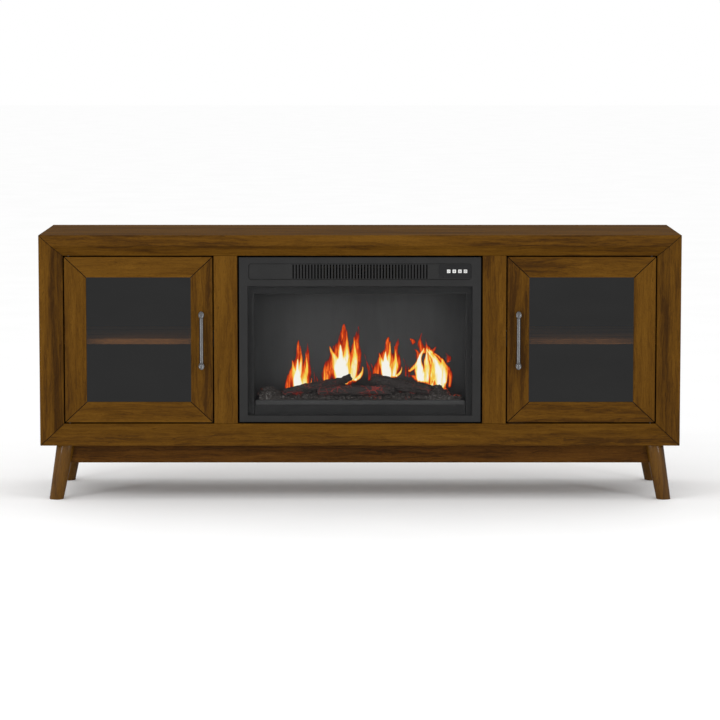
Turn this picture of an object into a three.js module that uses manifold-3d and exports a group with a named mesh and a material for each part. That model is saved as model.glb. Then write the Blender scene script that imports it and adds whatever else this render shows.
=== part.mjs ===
// An electric fireplace insert in a media console with two glazed cabinets, on four splayed legs.
// Millimetres, +Z up. The origin is on the floor under the middle of the case; the front faces -Y.
import * as THREE from 'three';
import { mergeVertices } from 'three/addons/utils/BufferGeometryUtils.js';
import Module from 'manifold-3d';

const wasm = await Module();
wasm.setup();

// ---- Driving dimensions ----------------------------------------------------------------------

// Clearances
const touchGap = 0.3; // between pieces that rest on or against each other
const mitreGap = 0.25; // shifts each half of a case mitre back from the corner line
const runningGap = 0.4; // round a shaft or a pin that turns
const insertSlip = 0.5; // round a part that drops into a recess

// Facets round the small bars
const pinSides = 20;
const shaftSides = 16;

// Case
const caseWidth = 1828.8;
const caseDepth = 457.2;
const legHeight = 159; // floor to the underside of the case
const boardThickness = 22; // top and bottom
const sideThickness = 22;
const railFace = 60; // height of the top and bottom frame, seen from the front
const stileFace = 66; // width of the side frame, seen from the front
const railFlat = 30; // flat outer band of the frame, before its bevel
const bevelDepth = 27; // how far the doors stand behind the front
const nosingDepth = 50; // front to back of the thick front edge
const rebateWidth = 11; // rebate for the back panel
const rebateDepth = 6;
const backThickness = 5;

// Middle of the case
const midStileWidth = 67;
const partitionThickness = 18;
const floorPanelThickness = 18;
const floorPanelLip = 1; // its top above the bezel's lower edge
const floorPanelSetback = 53;

// Cable and air holes in the back panel
const cableHoleRadius = 25;
const cableHoleAside = 77; // partition's outer face to the holes' middle
const cableHoleBelow = 120; // underside of the case to the lower holes' middle
const cableHoleAbove = 183; // top of the case to the upper holes' middle
const airHoleSide = 140.5; // a mid stile to the hole, across
const airHoleBelow = 130; // underside of the case to the hole
const airHoleAbove = 173; // top of the case to the hole

// Doors
const doorGap = 4; // dark line all round a door
const doorThickness = 20;
const doorStile = 62;
const doorRail = 58.4;
const paneThickness = 4;
const paneOverlap = 7; // how far the pane reaches under the frame
const paneSetback = 8; // front of the door frame to the pane
const pivotInset = 12; // door's outer edge to its pivot
const pivotRadius = 3;
const pivotReach = 14; // length of the pin inside the door
const pivotHold = 10; // length of the pin inside the case

// Handles
const handleLength = 168;
const handleRadius = 5.8;
const handleKnobRadius = 8;
const handleKnobLength = 18;
const handleKnobSwell = 5.4; // end of the bar to the thickest part of its knob
const handleTipRadius = 5.6; // where the knob's rounded end begins
const handleTipLength = 1.2;
const handleStandoff = 17; // door face to the middle of the bar
const handlePostRadius = 4;

// Catches
const catchWidth = 14;
const catchDepth = 16;
const catchHeight = 46;
const catchNose = 14; // how far the catch reaches behind the door
const catchReveal = 0.5; // between the catch and the closed door

// Shelves
const shelfThickness = 16;
const shelfRise = 283.7; // underside of the case to the underside of the shelf
const shelfSetback = 80; // front of the case to the shelf's front edge
const shelfSideGap = 1;
const cleatWidth = 14;
const cleatHeight = 18;
const cleatSetback = 30; // shelf's front edge to the cleat's front end

// Base
const legTopRadius = 25.5;
const legFootRadius = 20;
const legSplay = 10; // degrees, outwards
const legSideInset = 69.4; // side of the case to the leg's axis, at the underside of the case
const legFrontInset = 38; // front or back of the case to the leg's axis
const legTrim = 30; // extra length of a leg's round, cut off again above and below
const apronHeight = 54;
const apronThickness = 18;
const apronSetback = 2; // apron's outer face in front of the leg's axis is this plus half its thickness

// Insert: front
const bezelWidth = 691;
const bezelHeight = 474;
const bezelThickness = 12;
const bezelSideGap = 5; // bezel to a mid stile
const bezelGap = 4.5; // bezel to the frame above and below
const bezelSide = 24.5; // width of the bezel beside the view
const bezelBelow = 19.3; // height of the bezel below the view
const bezelBetween = 19.5; // between the view and the control panel
const bezelAbove = 18.8; // above the control panel
const panelSide = 27.5; // width of the bezel beside the control panel
const panelHeight = 45.4;
const panelCorner = 8;
const panelSetback = 3; // bezel's face to the control panel's face
const panelThickness = 3;
const slotCount = 44;
const slotPitch = 8.87;
const slotWidth = 4;
const slotMargin = 2; // panel's edge to the end of a slot
const openSlots = 28; // the middle ones go through, the rest are blind
const blindSlotDepth = 1.5;
const glassThickness = 3;
const glassOverlap = 6; // how far the glass reaches behind the bezel

// Insert: buttons
const buttonCount = 4;
const buttonSize = 9.6;
const buttonPitch = 16;
const buttonInset = 41; // control panel's right end to the middle of the row
const buttonDrop = 21.7; // control panel's upper edge to the middle of the row
const buttonProud = 1.4; // in front of the control panel
const buttonFlange = 1.2; // wider than the cap on each side
const buttonFlangeThickness = 1;
const buttonSlip = 0.35; // round the cap in its hole
const buttonTravel = 1;
const buttonStem = 2.2; // half the width of the stem

// Insert: housing
const housingSideLap = 15.5; // how far the bezel covers the housing's surround at each side
const housingTopLap = 6.7; // and above
const housingDepth = 200;
const housingWall = 2;
const heaterRoom = 66; // clear height above the deck
const intakeCount = 12;
const intakePitch = 24;
const intakeWidth = 8;
const intakeHeight = 34;
const glandRadius = 8;
const glandLength = 14;
const glandInset = 80; // housing's right side to the gland's middle
const glandDrop = 46; // housing's top to the gland's middle
const glandBore = 3.5;
const glandFlange = 4; // wider and thicker by this

// Insert: firebox
const trayInset = 19; // edge of the view to the end of the tray
const trayLipRise = 59; // housing's underside to the top of the tray
const trayDepth = 86;
const trayWall = 2;
const screenThickness = 3;
const screenSetback = 96; // housing's front to the flame screen
const surroundWidth = 18; // of the frame inside the view that shows at each side
const surroundHeight = 23; // and at the top
const surroundThickness = 8;
const logRadius = 15;
const logTaper = 0.85; // a log's upper end for its lower end
const logSides = 10;
const logPlaces = [ // [radius, lower end, upper end], from the middle of the tray's top
  [logRadius, [-222, -8, 17], [-30, 16, 50]],
  [logRadius, [212, -6, 20], [22, 14, 58]],
  [logRadius - 1.5, [-118, -18, 14], [96, -14, 17]],
  [logRadius - 6, [-66, 8, 40], [-34, 2, 62]],
];
const bedInset = 10; // end of the tray to the end of the ember bed
const bedDepth = 76;
const bedHeight = 9;
const bedRoom = 90; // the tallest that the logs may stand

// Insert: heater and blower
const rotorRadius = 20;
const rotorBlades = 12;
const bladeDepth = 6;
const rotorLength = 260;
const rotorShaft = 3;
const rotorSetback = 80; // housing's front to the rotor's axis
const rotorRise = 31; // deck to the rotor's axis
const ductClearance = 4; // rotor to the duct's wall
const ductWall = 1.5;
const ductEnd = 2; // thickness of an end plate
const ductFrom = -150; // degrees round the rotor, from level at the back: under the outlet
const ductTo = 60; // over the back, where the inlet begins
const motorRadius = 18;
const motorLength = 34;
const motorShaftDepth = 16;
const heaterThickness = 12;
const heaterHeight = 46;
const heaterSetback = 22; // housing's front to the heater
const heaterBars = 9;
const heaterFrame = 4;

// Insert: flame effect
const flameRotorVanes = 6;
const flameRotorMargin = 14; // vanes to the motor, and to the far wall
const flameRotorRadius = 15;
const vaneRoot = 1; // how far the vanes' roots stand off the shaft
const flameRotorSetback = 140; // housing's front to the rotor's axis
const flameRotorRise = 70; // housing's underside to the rotor's axis
const flameMotorLength = 26;
const flameMotorRadius = 16;
const ledCount = 12;
const ledPitch = 44;
const ledSetback = 116; // housing's front to the bar
const ledDepth = 14;
const ledBoard = 2;
const ledChip = 3;

// Insert: control board
const circuitWidth = 76;
const circuitHeight = 42;
const circuitThickness = 1.6;
const circuitSetback = 12; // control panel's back to the circuit board
const stemGap = 0.6; // between a pressed button's stem and the circuit board
const postRadius = 2.5;
const postInset = 4.5; // circuit board's edge to a post
const relayInset = 8; // circuit board's edge to the relay
const relayWidth = 20;
const relayHeight = 15;
const relayDepth = 14;

// ---- Places that follow from the sizes ---------------------------------------------------------

const halfWidth = caseWidth / 2;
const frontY = -caseDepth / 2;
const backY = caseDepth / 2;
const caseBottom = legHeight;
const openingHeight = bezelHeight + 2 * bezelGap; // the frame is built round a bezel of set size
const insertOpening = bezelWidth + 2 * bezelSideGap;
const caseTop = caseBottom + openingHeight + 2 * railFace;
const openingHalf = halfWidth - stileFace;
const openingBottom = caseBottom + railFace;
const openingTop = caseTop - railFace;
const openingMiddle = (openingBottom + openingTop) / 2;
const recessY = frontY + bevelDepth;
const nosingY = frontY + nosingDepth;
const rebateY = backY - rebateDepth;
const bezelBottom = openingBottom + bezelGap;
const floorPanelTop = bezelBottom + floorPanelLip;
const innerBottom = caseBottom + boardThickness;
const innerTop = caseTop - boardThickness;
const innerHalf = halfWidth - sideThickness;
const midStileInner = insertOpening / 2;
const midStileOuter = midStileInner + midStileWidth;
const partitionMiddle = (midStileInner + midStileOuter) / 2;
const doorOuterEdge = openingHalf - doorGap;
const doorInnerEdge = midStileOuter + doorGap;
const pivotX = doorOuterEdge - pivotInset;
const pivotY = recessY + doorThickness / 2;

// ---- Finishes ----------------------------------------------------------------------------------

const finish = (color, roughness, metalness = 0) => () => (
  new THREE.MeshStandardMaterial({ color, roughness, metalness })
);
const walnut = finish(0x604118, 0.45);
const darkWalnut = finish(0x48300f, 0.5);
const innerBoard = finish(0x3a2c20, 0.7);
const hardboard = finish(0x4a3a28, 0.85);
const tintedGlass = finish(0x2d2d2d, 0.08);
const clearGlass = finish(0x3a3d3e, 0.05);
const darkNickel = finish(0x585858, 0.35, 0.9);
const satinBlack = finish(0x333333, 0.55, 0.1);
const sheetSteel = finish(0x2c2c2c, 0.6, 0.5);
const zincSteel = finish(0x8d9094, 0.4, 0.85);
const blackPlastic = finish(0x1c1c1c, 0.5);
const iconWhite = finish(0xe8e8e8, 0.5);
const charredResin = finish(0x241d1a, 0.9);
const screenGrey = finish(0x343434, 0.5);
const mica = finish(0x9a8f78, 0.7);
const circuitGreen = finish(0x1f4a34, 0.5);
const reflectiveFoil = finish(0xb8b8b8, 0.25, 0.9);

// ---- Shape tools -------------------------------------------------------------------------------

/** Position-only, indexed copy of a geometry, its shared corners merged and its empty triangles dropped. */
function welded(geometry) {
  const bare = geometry.clone();
  bare.deleteAttribute('normal');
  bare.deleteAttribute('uv');
  const merged = mergeVertices(bare, 1e-4);
  const corners = merged.index.array;
  const kept = [];
  for (let i = 0; i < corners.length; i += 3) {
    const triangle = [corners[i], corners[i + 1], corners[i + 2]];
    if (new Set(triangle).size === 3) kept.push(...triangle);
  }
  merged.setIndex(kept);
  return merged;
}

/** The solid that a closed geometry encloses. */
function solidOf(geometry) {
  const shell = welded(geometry);
  return new wasm.Manifold(new wasm.Mesh({
    numProp: 3,
    vertProperties: Float32Array.from(shell.attributes.position.array),
    triVerts: Uint32Array.from(shell.index.array),
  }));
}

/** The surface of a solid, with flat-shaded faces. */
function surfaceOf(solid) {
  const mesh = solid.getMesh();
  const shell = new THREE.BufferGeometry();
  shell.setAttribute('position', new THREE.BufferAttribute(Float32Array.from(mesh.vertProperties), 3));
  shell.setIndex(Array.from(mesh.triVerts));
  const faces = shell.toNonIndexed();
  faces.computeVertexNormals();
  return faces;
}

/** A geometry with others cut away from it. */
function cut(geometry, tools) {
  return surfaceOf(tools.reduce((body, tool) => body.subtract(solidOf(tool)), solidOf(geometry)));
}

/** Overlapping geometries joined into one body. */
function join(geometries) {
  const [first, ...others] = geometries.map(solidOf);
  return surfaceOf(others.reduce((body, other) => body.add(other), first));
}

/** What two geometries share. */
function common(first, second) {
  return surfaceOf(solidOf(first).intersect(solidOf(second)));
}

/** A box between any two opposite corners. */
function block([x0, y0, z0], [x1, y1, z1]) {
  const box = new THREE.BoxGeometry(Math.abs(x1 - x0), Math.abs(y1 - y0), Math.abs(z1 - z0));
  return box.translate((x0 + x1) / 2, (y0 + y1) / 2, (z0 + z1) / 2);
}

/** A round bar about the given axis, its middle at the origin. */
function bar(radius, length, axis, sides = 24) {
  const round = new THREE.CylinderGeometry(radius, radius, length, sides);
  if (axis === 'x') round.rotateZ(Math.PI / 2);
  if (axis === 'z') round.rotateX(Math.PI / 2);
  return round;
}

/** A rectangle in X and Z, with rounded corners where a radius is given. */
function rectangle(x0, z0, x1, z1, radius = 0, steps = 4) {
  const corners = [[x1, z0, -1, 1], [x1, z1, -1, -1], [x0, z1, 1, -1], [x0, z0, 1, 1]];
  if (radius === 0) return new THREE.Shape(corners.map(([x, z]) => new THREE.Vector2(x, z)));
  const points = corners.flatMap(([x, z, inX, inZ], corner) => (
    Array.from({ length: steps + 1 }, (_, i) => {
      const angle = (corner - 1 + i / steps) * (Math.PI / 2);
      return new THREE.Vector2(
        x + inX * radius + radius * Math.cos(angle),
        z + inZ * radius + radius * Math.sin(angle),
      );
    })
  ));
  return new THREE.Shape(points);
}

/** An outline in X and Z given thickness along Y, from y0 to y1. */
function plate(outline, y0, y1) {
  const flat = new THREE.ExtrudeGeometry(outline, { depth: y1 - y0, bevelEnabled: false });
  return flat.rotateX(Math.PI / 2).translate(0, y1, 0);
}

/** An outline in Y and Z given length along X, from x0 to x1. */
function rail(outline, x0, x1, curveSegments = 8) {
  const long = new THREE.ExtrudeGeometry(outline, { depth: x1 - x0, bevelEnabled: false, curveSegments });
  return long.rotateX(Math.PI / 2).rotateZ(Math.PI / 2).translate(x0, 0, 0);
}

/** A copy of a geometry moved by the given amounts. */
const moved = (geometry, x, y, z) => geometry.clone().translate(x, y, z);

/** A geometry with its faces turned round if they point inwards. */
function facingOut(geometry) {
  const position = geometry.attributes.position;
  const corners = [0, 1, 2].map(() => new THREE.Vector3());
  let volume = 0;
  for (let i = 0; i < position.count; i += 3) {
    corners.forEach((corner, k) => corner.fromBufferAttribute(position, i + k));
    volume += corners[0].dot(corners[1].clone().cross(corners[2]));
  }
  if (volume < 0) {
    for (let i = 0; i < position.count; i += 3) {
      const [a, b] = [1, 2].map((k) => new THREE.Vector3().fromBufferAttribute(position, i + k));
      position.setXYZ(i + 1, b.x, b.y, b.z);
      position.setXYZ(i + 2, a.x, a.y, a.z);
    }
  }
  geometry.computeVertexNormals();
  return geometry;
}

/** A named mesh. */
function piece(name, geometry, finishOf, x = 0, y = 0, z = 0) {
  const mesh = new THREE.Mesh(geometry, finishOf());
  mesh.name = name;
  mesh.position.set(x, y, z);
  return mesh;
}

// ---- Case --------------------------------------------------------------------------------------

/**
 * A case board: its section runs along one side of the front frame and its ends are mitred.
 * The section's points are [back from the front, in from the outer face].
 */
function mitredBoard(section, place) {
  const outline = new THREE.Shape(section.map(([depth, inset]) => new THREE.Vector2(depth, inset)));
  const board = new THREE.ExtrudeGeometry(outline, { depth: 1, bevelEnabled: false });
  const position = board.attributes.position;
  for (let i = 0; i < position.count; i += 1) {
    const end = position.getZ(i) > 0.5 ? 1 : -1;
    position.setXYZ(i, ...place(position.getX(i), position.getY(i), end));
  }
  return facingOut(board);
}

/** The section of a case board with its bevelled nosing in front and its rebate at the back. */
function boardSection(thickness, face, flat) {
  return [
    [0, 0],
    [0, flat],
    [bevelDepth, face],
    [nosingDepth, face],
    [nosingDepth, thickness],
    [caseDepth - rebateDepth, thickness],
    [caseDepth - rebateDepth, rebateWidth],
    [caseDepth, rebateWidth],
    [caseDepth, 0],
  ];
}

/** The four mitred boards of the case. */
function caseBoards() {
  const boards = new THREE.Group();
  const stilePerRail = stileFace / railFace;
  const railSection = boardSection(boardThickness, railFace, railFlat);
  const stileSection = boardSection(sideThickness, stileFace, railFlat * stilePerRail);
  const level = (height, inward) => (depth, inset, end) => [
    end * (halfWidth - inset * stilePerRail - mitreGap),
    frontY + depth,
    height + inward * inset,
  ];
  const upright = (side) => (depth, inset, end) => [
    side * (halfWidth - inset),
    frontY + depth,
    end > 0 ? caseTop - inset / stilePerRail - mitreGap : caseBottom + inset / stilePerRail + mitreGap,
  ];
  const pinSocket = (side, height) => {
    const socket = bar(pivotRadius + touchGap, (pivotHold + touchGap) * 2, 'z', pinSides);
    return socket.translate(side * pivotX, pivotY, height);
  };
  for (const [name, height, inward, edge] of [
    ['case_top', caseTop, -1, openingTop],
    ['case_bottom', caseBottom, 1, openingBottom],
  ]) {
    const board = mitredBoard(railSection, level(height, inward));
    boards.add(piece(name, cut(board, [pinSocket(-1, edge), pinSocket(1, edge)]), walnut));
  }
  boards.add(piece('case_left_side', mitredBoard(stileSection, upright(-1)), walnut));
  boards.add(piece('case_right_side', mitredBoard(stileSection, upright(1)), walnut));
  return boards;
}

/** The upright between a door and the insert, and the partition behind it. */
function divider(side, name) {
  const parts = new THREE.Group();
  const stile = block(
    [-midStileWidth / 2, recessY, openingBottom + touchGap],
    [midStileWidth / 2, nosingY, openingTop - touchGap],
  );
  const partition = block(
    [-partitionThickness / 2, nosingY + touchGap, innerBottom + touchGap],
    [partitionThickness / 2, rebateY - touchGap, innerTop - touchGap],
  );
  parts.position.x = side * partitionMiddle;
  parts.add(piece(`${name}_mid_stile`, stile, walnut));
  parts.add(piece(`${name}_partition`, partition, innerBoard));
  return parts;
}

/** The panel that the insert stands on. */
function floorPanel() {
  const half = partitionMiddle - partitionThickness / 2 - touchGap;
  const board = block(
    [-half, frontY + floorPanelSetback, floorPanelTop - floorPanelThickness],
    [half, rebateY - touchGap, floorPanelTop],
  );
  return piece('insert_floor_panel', board, innerBoard);
}

/** The back panel, with a cable hole below and above each shelf and an air hole behind the insert. */
function backPanel() {
  const half = innerHalf + sideThickness - rebateWidth - insertSlip;
  const low = caseBottom + rebateWidth + insertSlip;
  const high = caseTop - rebateWidth - insertSlip;
  const front = rebateY + touchGap;
  const back = front + backThickness;
  const airHalf = midStileInner - airHoleSide;
  const holeMiddle = partitionMiddle + partitionThickness / 2 + cableHoleAside;
  const tools = [
    block([-airHalf, front - 1, caseBottom + airHoleBelow], [airHalf, back + 1, caseTop - airHoleAbove]),
  ];
  for (const side of [-1, 1]) {
    for (const height of [caseBottom + cableHoleBelow, caseTop - cableHoleAbove]) {
      const hole = bar(cableHoleRadius, backThickness * 3, 'y', 32);
      tools.push(hole.translate(side * holeMiddle, front, height));
    }
  }
  return piece('back_panel', cut(block([-half, front, low], [half, back, high]), tools), hardboard);
}

// ---- Base --------------------------------------------------------------------------------------

/** A leg's tapered round, longer than the leg, about its splayed axis; the axis meets z = 0 at the origin. */
function legRound(side, widening = 0) {
  const splay = THREE.MathUtils.degToRad(legSplay);
  const length = legHeight / Math.cos(splay);
  const taper = (legTopRadius - legFootRadius) / length;
  const round = new THREE.CylinderGeometry(
    legTopRadius + taper * legTrim + widening,
    legFootRadius - taper * legTrim + widening,
    length + legTrim * 2,
    32,
  );
  return round.rotateX(Math.PI / 2).translate(0, 0, -length / 2).rotateY(-side * splay);
}

/** A leg, cut level at the floor and under the case. */
function legBody(side) {
  const reach = legHeight + legTopRadius;
  const slab = block([-reach, -reach, -legHeight], [reach, reach, -touchGap]);
  return common(legRound(side), slab);
}

/** The four legs and the aprons that run between them. */
function base() {
  const frame = new THREE.Group();
  frame.position.z = legHeight;
  const legX = halfWidth - legSideInset;
  const legY = halfDepthOf(legFrontInset);
  const corners = [
    ['front_left', -1, -1],
    ['front_right', 1, -1],
    ['back_left', -1, 1],
    ['back_right', 1, 1],
  ];
  for (const [name, side, end] of corners) {
    frame.add(piece(`leg_${name}`, legBody(side), walnut, side * legX, end * legY, 0));
  }
  const rounds = corners.map(([, side, end]) => moved(legRound(side, touchGap), side * legX, end * legY, 0));
  const half = apronThickness / 2;
  const long = (end, spare) => {
    const middle = end * (legY - apronSetback - half);
    return block(
      [-legX - spare, middle - half - spare, -apronHeight - spare],
      [legX + spare, middle + half + spare, -touchGap + spare],
    );
  };
  for (const [name, end] of [['front', -1], ['back', 1]]) {
    frame.add(piece(`apron_${name}`, cut(long(end, 0), rounds), darkWalnut));
  }
  const longRoom = [long(-1, touchGap), long(1, touchGap)];
  for (const [name, side] of [['left', -1], ['right', 1]]) {
    const board = block([side * legX - half, -legY, -apronHeight], [side * legX + half, legY, -touchGap]);
    frame.add(piece(`apron_${name}`, cut(board, [...rounds, ...longRoom]), darkWalnut));
  }
  return frame;
}

/** Half the case's depth less an inset. */
function halfDepthOf(inset) {
  return caseDepth / 2 - inset;
}

// ---- Cabinets ----------------------------------------------------------------------------------

/** A cabinet's shelf and the cleats under its ends. */
function shelf(side, name) {
  const bay = new THREE.Group();
  const inner = partitionMiddle + partitionThickness / 2;
  const front = frontY + shelfSetback;
  const back = rebateY - touchGap;
  const board = block(
    [side * (inner + shelfSideGap), front, 0],
    [side * (innerHalf - shelfSideGap), back, shelfThickness],
  );
  bay.position.z = caseBottom + shelfRise;
  bay.add(piece(`${name}_shelf`, board, walnut));
  const cleat = block(
    [-cleatWidth / 2, front + cleatSetback, -cleatHeight - touchGap],
    [cleatWidth / 2, back, -touchGap],
  );
  const reach = cleatWidth / 2 + touchGap;
  bay.add(piece(`${name}_shelf_inner_cleat`, cleat, innerBoard, side * (inner + reach)));
  bay.add(piece(`${name}_shelf_outer_cleat`, cleat.clone(), innerBoard, side * (innerHalf - reach)));
  return bay;
}

// ---- Doors -------------------------------------------------------------------------------------

/** A bar handle on two posts, its bar upright, in front of the plane y = 0. */
function handleBody() {
  const half = handleLength / 2;
  const knob = half - handleKnobLength / 2;
  const profile = [
    [0, -half],
    [handleTipRadius, -half + handleTipLength],
    [handleKnobRadius, -half + handleKnobSwell],
    [handleRadius, -half + handleKnobLength],
    [handleRadius, half - handleKnobLength],
    [handleKnobRadius, half - handleKnobSwell],
    [handleTipRadius, half - handleTipLength],
    [0, half],
  ].map(([radius, height]) => new THREE.Vector2(radius, height));
  const grip = new THREE.LatheGeometry(profile, pinSides)
    .rotateX(Math.PI / 2)
    .translate(0, -handleStandoff, 0);
  const postLength = handleStandoff - touchGap;
  const post = bar(handlePostRadius, postLength, 'y', shaftSides)
    .translate(0, -handleStandoff + postLength / 2, 0);
  return join([grip, moved(post, 0, 0, knob), moved(post, 0, 0, -knob)]);
}

/** A door with its pane, handle, pivots and catch; the group stands on the pivot's axis. */
function door(side, name) {
  const hung = new THREE.Group();
  const low = openingBottom + doorGap;
  const high = openingTop - doorGap;
  hung.position.set(side * pivotX, pivotY, 0);

  // Places below are from the pivot's axis.
  const edges = [side * (doorOuterEdge - pivotX), side * (doorInnerEdge - pivotX)];
  const [x0, x1] = [Math.min(...edges), Math.max(...edges)];
  const face = recessY - pivotY;
  const back = face + doorThickness;
  const outline = rectangle(x0, low, x1, high);
  outline.holes.push(rectangle(x0 + doorStile, low + doorRail, x1 - doorStile, high - doorRail));
  const recess = block(
    [x0 + doorStile - paneOverlap, face + paneSetback, low + doorRail - paneOverlap],
    [x1 - doorStile + paneOverlap, back + 1, high - doorRail + paneOverlap],
  );
  const pinHole = bar(pivotRadius + runningGap, (pivotReach + touchGap) * 2, 'z', pinSides);
  const pinHoles = [low, high].map((height) => moved(pinHole, 0, 0, height));
  const frame = cut(plate(outline, face, back), [recess, ...pinHoles]);
  hung.add(piece(`${name}_door_frame`, frame, walnut));

  const paneFront = face + paneSetback + touchGap;
  const lap = paneOverlap - insertSlip;
  const pane = block(
    [x0 + doorStile - lap, paneFront, low + doorRail - lap],
    [x1 - doorStile + lap, paneFront + paneThickness, high - doorRail + lap],
  );
  hung.add(piece(`${name}_door_pane`, pane, tintedGlass));
  hung.add(beadRing(name, x0, x1, low, high, paneFront + paneThickness + touchGap, back));

  const handleX = side * (doorInnerEdge + doorStile / 2 - pivotX);
  hung.add(piece(`${name}_door_handle`, handleBody(), darkNickel, handleX, face, openingMiddle));

  const pinLength = pivotReach + doorGap + pivotHold;
  const pin = bar(pivotRadius, pinLength, 'z', pinSides);
  const pinShift = pinLength / 2 - pivotReach;
  hung.add(piece(`${name}_door_upper_pivot`, pin, zincSteel, 0, 0, high + pinShift));
  hung.add(piece(`${name}_door_lower_pivot`, pin.clone(), zincSteel, 0, 0, low - pinShift));

  hung.add(piece(
    `${name}_door_catch`, catchBody(side), zincSteel, side * (midStileOuter - pivotX), -pivotY, openingMiddle,
  ));
  return hung;
}

/** A catch on the back of a mid stile, from the stile's edge at x = 0; its nose is behind the closed door. */
function catchBody(side) {
  const half = catchHeight / 2;
  const seatFront = nosingY + touchGap;
  const noseFront = recessY + doorThickness + catchReveal;
  const back = seatFront + catchDepth;
  const seat = block([-side * catchWidth, seatFront, -half], [side * touchGap, back, half]);
  const nose = block([side * touchGap, noseFront, -half], [side * catchNose, back, half]);
  return join([seat, nose]);
}

/** The bead that holds a pane in its door. */
function beadRing(name, x0, x1, low, high, front, back) {
  const reach = paneOverlap - insertSlip;
  const outline = rectangle(
    x0 + doorStile - reach, low + doorRail - reach, x1 - doorStile + reach, high - doorRail + reach,
  );
  outline.holes.push(rectangle(x0 + doorStile, low + doorRail, x1 - doorStile, high - doorRail));
  return piece(`${name}_door_bead`, plate(outline, front, back), walnut);
}

// ---- Insert: front -----------------------------------------------------------------------------

// Places in the insert are from the middle of its bezel's lower edge, on the bezel's face.
const housingFront = bezelThickness + touchGap;
const housingBack = housingFront + housingDepth;
const housingBottom = floorPanelLip + touchGap;
const housingFloor = housingBottom + housingWall;
const housingTop = bezelHeight - housingTopLap;
const housingHalf = bezelWidth / 2 - housingSideLap;
const insideHalf = housingHalf - housingWall;
const deckTop = housingTop - housingWall - heaterRoom;
const deckBottom = deckTop - housingWall;
const glandX = housingHalf - glandInset;
const glandZ = housingTop - glandDrop;
const viewHalf = bezelWidth / 2 - bezelSide;
const viewBottom = bezelBelow;
const panelHalf = bezelWidth / 2 - panelSide;
const panelTop = bezelHeight - bezelAbove;
const panelBottom = panelTop - panelHeight;
const viewTop = panelBottom - bezelBetween;
const buttonMiddle = panelHalf - buttonInset;
const buttonHeight = panelTop - buttonDrop;
const trayHalf = viewHalf - trayInset;
const trayTop = housingBottom + trayLipRise;
const panelBack = panelSetback + panelThickness;
const circuitFront = panelBack + circuitSetback;

/** The places of the push buttons along their row. */
const buttonPlaces = Array.from(
  { length: buttonCount },
  (_, i) => buttonMiddle + (i - (buttonCount - 1) / 2) * buttonPitch,
);

/** The trim round the insert, open for the control panel and for the view of the fire. */
function bezel() {
  const outline = rectangle(-bezelWidth / 2, 0, bezelWidth / 2, bezelHeight);
  outline.holes.push(rectangle(-viewHalf, viewBottom, viewHalf, viewTop));
  outline.holes.push(rectangle(-panelHalf, panelBottom, panelHalf, panelTop, panelCorner));
  const reach = glassOverlap + insertSlip;
  const recess = block(
    [-viewHalf - reach, bezelThickness - glassThickness - touchGap, viewBottom - reach],
    [viewHalf + reach, bezelThickness + 1, viewTop + reach],
  );
  return piece('insert_bezel', cut(plate(outline, 0, bezelThickness), [recess]), satinBlack);
}

/** The clear pane in front of the fire. */
function frontGlass() {
  const pane = block(
    [-viewHalf - glassOverlap, bezelThickness - glassThickness, viewBottom - glassOverlap],
    [viewHalf + glassOverlap, bezelThickness, viewTop + glassOverlap],
  );
  return piece('front_glass', pane, clearGlass);
}

/** The control panel with its warm-air slots and its button holes. */
function controlPanel() {
  const half = panelHalf - insertSlip;
  const outline = rectangle(
    -half, panelBottom + insertSlip, half, panelTop - insertSlip, panelCorner - insertSlip,
  );
  const hole = buttonSize / 2 + buttonSlip;
  const tools = buttonPlaces.map((x) => (
    block([x - hole, 0, buttonHeight - hole], [x + hole, bezelThickness, buttonHeight + hole])
  ));
  for (let i = 0; i < slotCount; i += 1) {
    const place = i - (slotCount - 1) / 2;
    const x = place * slotPitch;
    const through = Math.abs(place) < openSlots / 2;
    tools.push(block(
      [x - slotWidth / 2, panelSetback - 1, panelBottom + slotMargin + insertSlip],
      [
        x + slotWidth / 2,
        through ? panelBack + 1 : panelSetback + blindSlotDepth,
        panelTop - slotMargin - insertSlip,
      ],
    ));
  }
  return piece('control_panel', cut(plate(outline, panelSetback, panelBack), tools), satinBlack);
}

/** A push button: cap, flange behind the control panel and stem, about the middle of the cap. */
function buttonBody() {
  const half = buttonSize / 2;
  const flangeFront = panelBack + touchGap;
  const flangeBack = flangeFront + buttonFlangeThickness;
  const flange = half + buttonFlange;
  const stemBack = circuitFront - stemGap - buttonTravel;
  return join([
    block([-half, panelSetback - buttonProud, -half], [half, flangeBack, half]),
    block([-flange, flangeFront, -flange], [flange, flangeBack, flange]),
    block([-buttonStem, flangeFront, -buttonStem], [buttonStem, stemBack, buttonStem]),
  ]);
}

/** The circuit board behind the buttons, on four posts, with its relay. */
function controlBoard() {
  const half = circuitWidth / 2;
  const high = circuitHeight / 2;
  const back = circuitFront + circuitThickness;
  const postLength = circuitSetback - touchGap + circuitThickness / 2;
  const parts = [block([-half, circuitFront, -high], [half, back, high])];
  for (const x of [-half + postInset, half - postInset]) {
    for (const z of [-high + postInset, high - postInset]) {
      const post = bar(postRadius, postLength, 'y', 12);
      parts.push(post.translate(x, panelBack + touchGap + postLength / 2, z));
    }
  }
  const relayStart = -half + relayInset;
  const relay = block(
    [relayStart, back - circuitThickness / 2, -relayHeight / 2],
    [relayStart + relayWidth, back + relayDepth, relayHeight / 2],
  );
  return piece('control_board', join([...parts, relay]), circuitGreen, buttonMiddle, 0, buttonHeight);
}

// ---- Insert: housing and firebox ---------------------------------------------------------------

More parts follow.
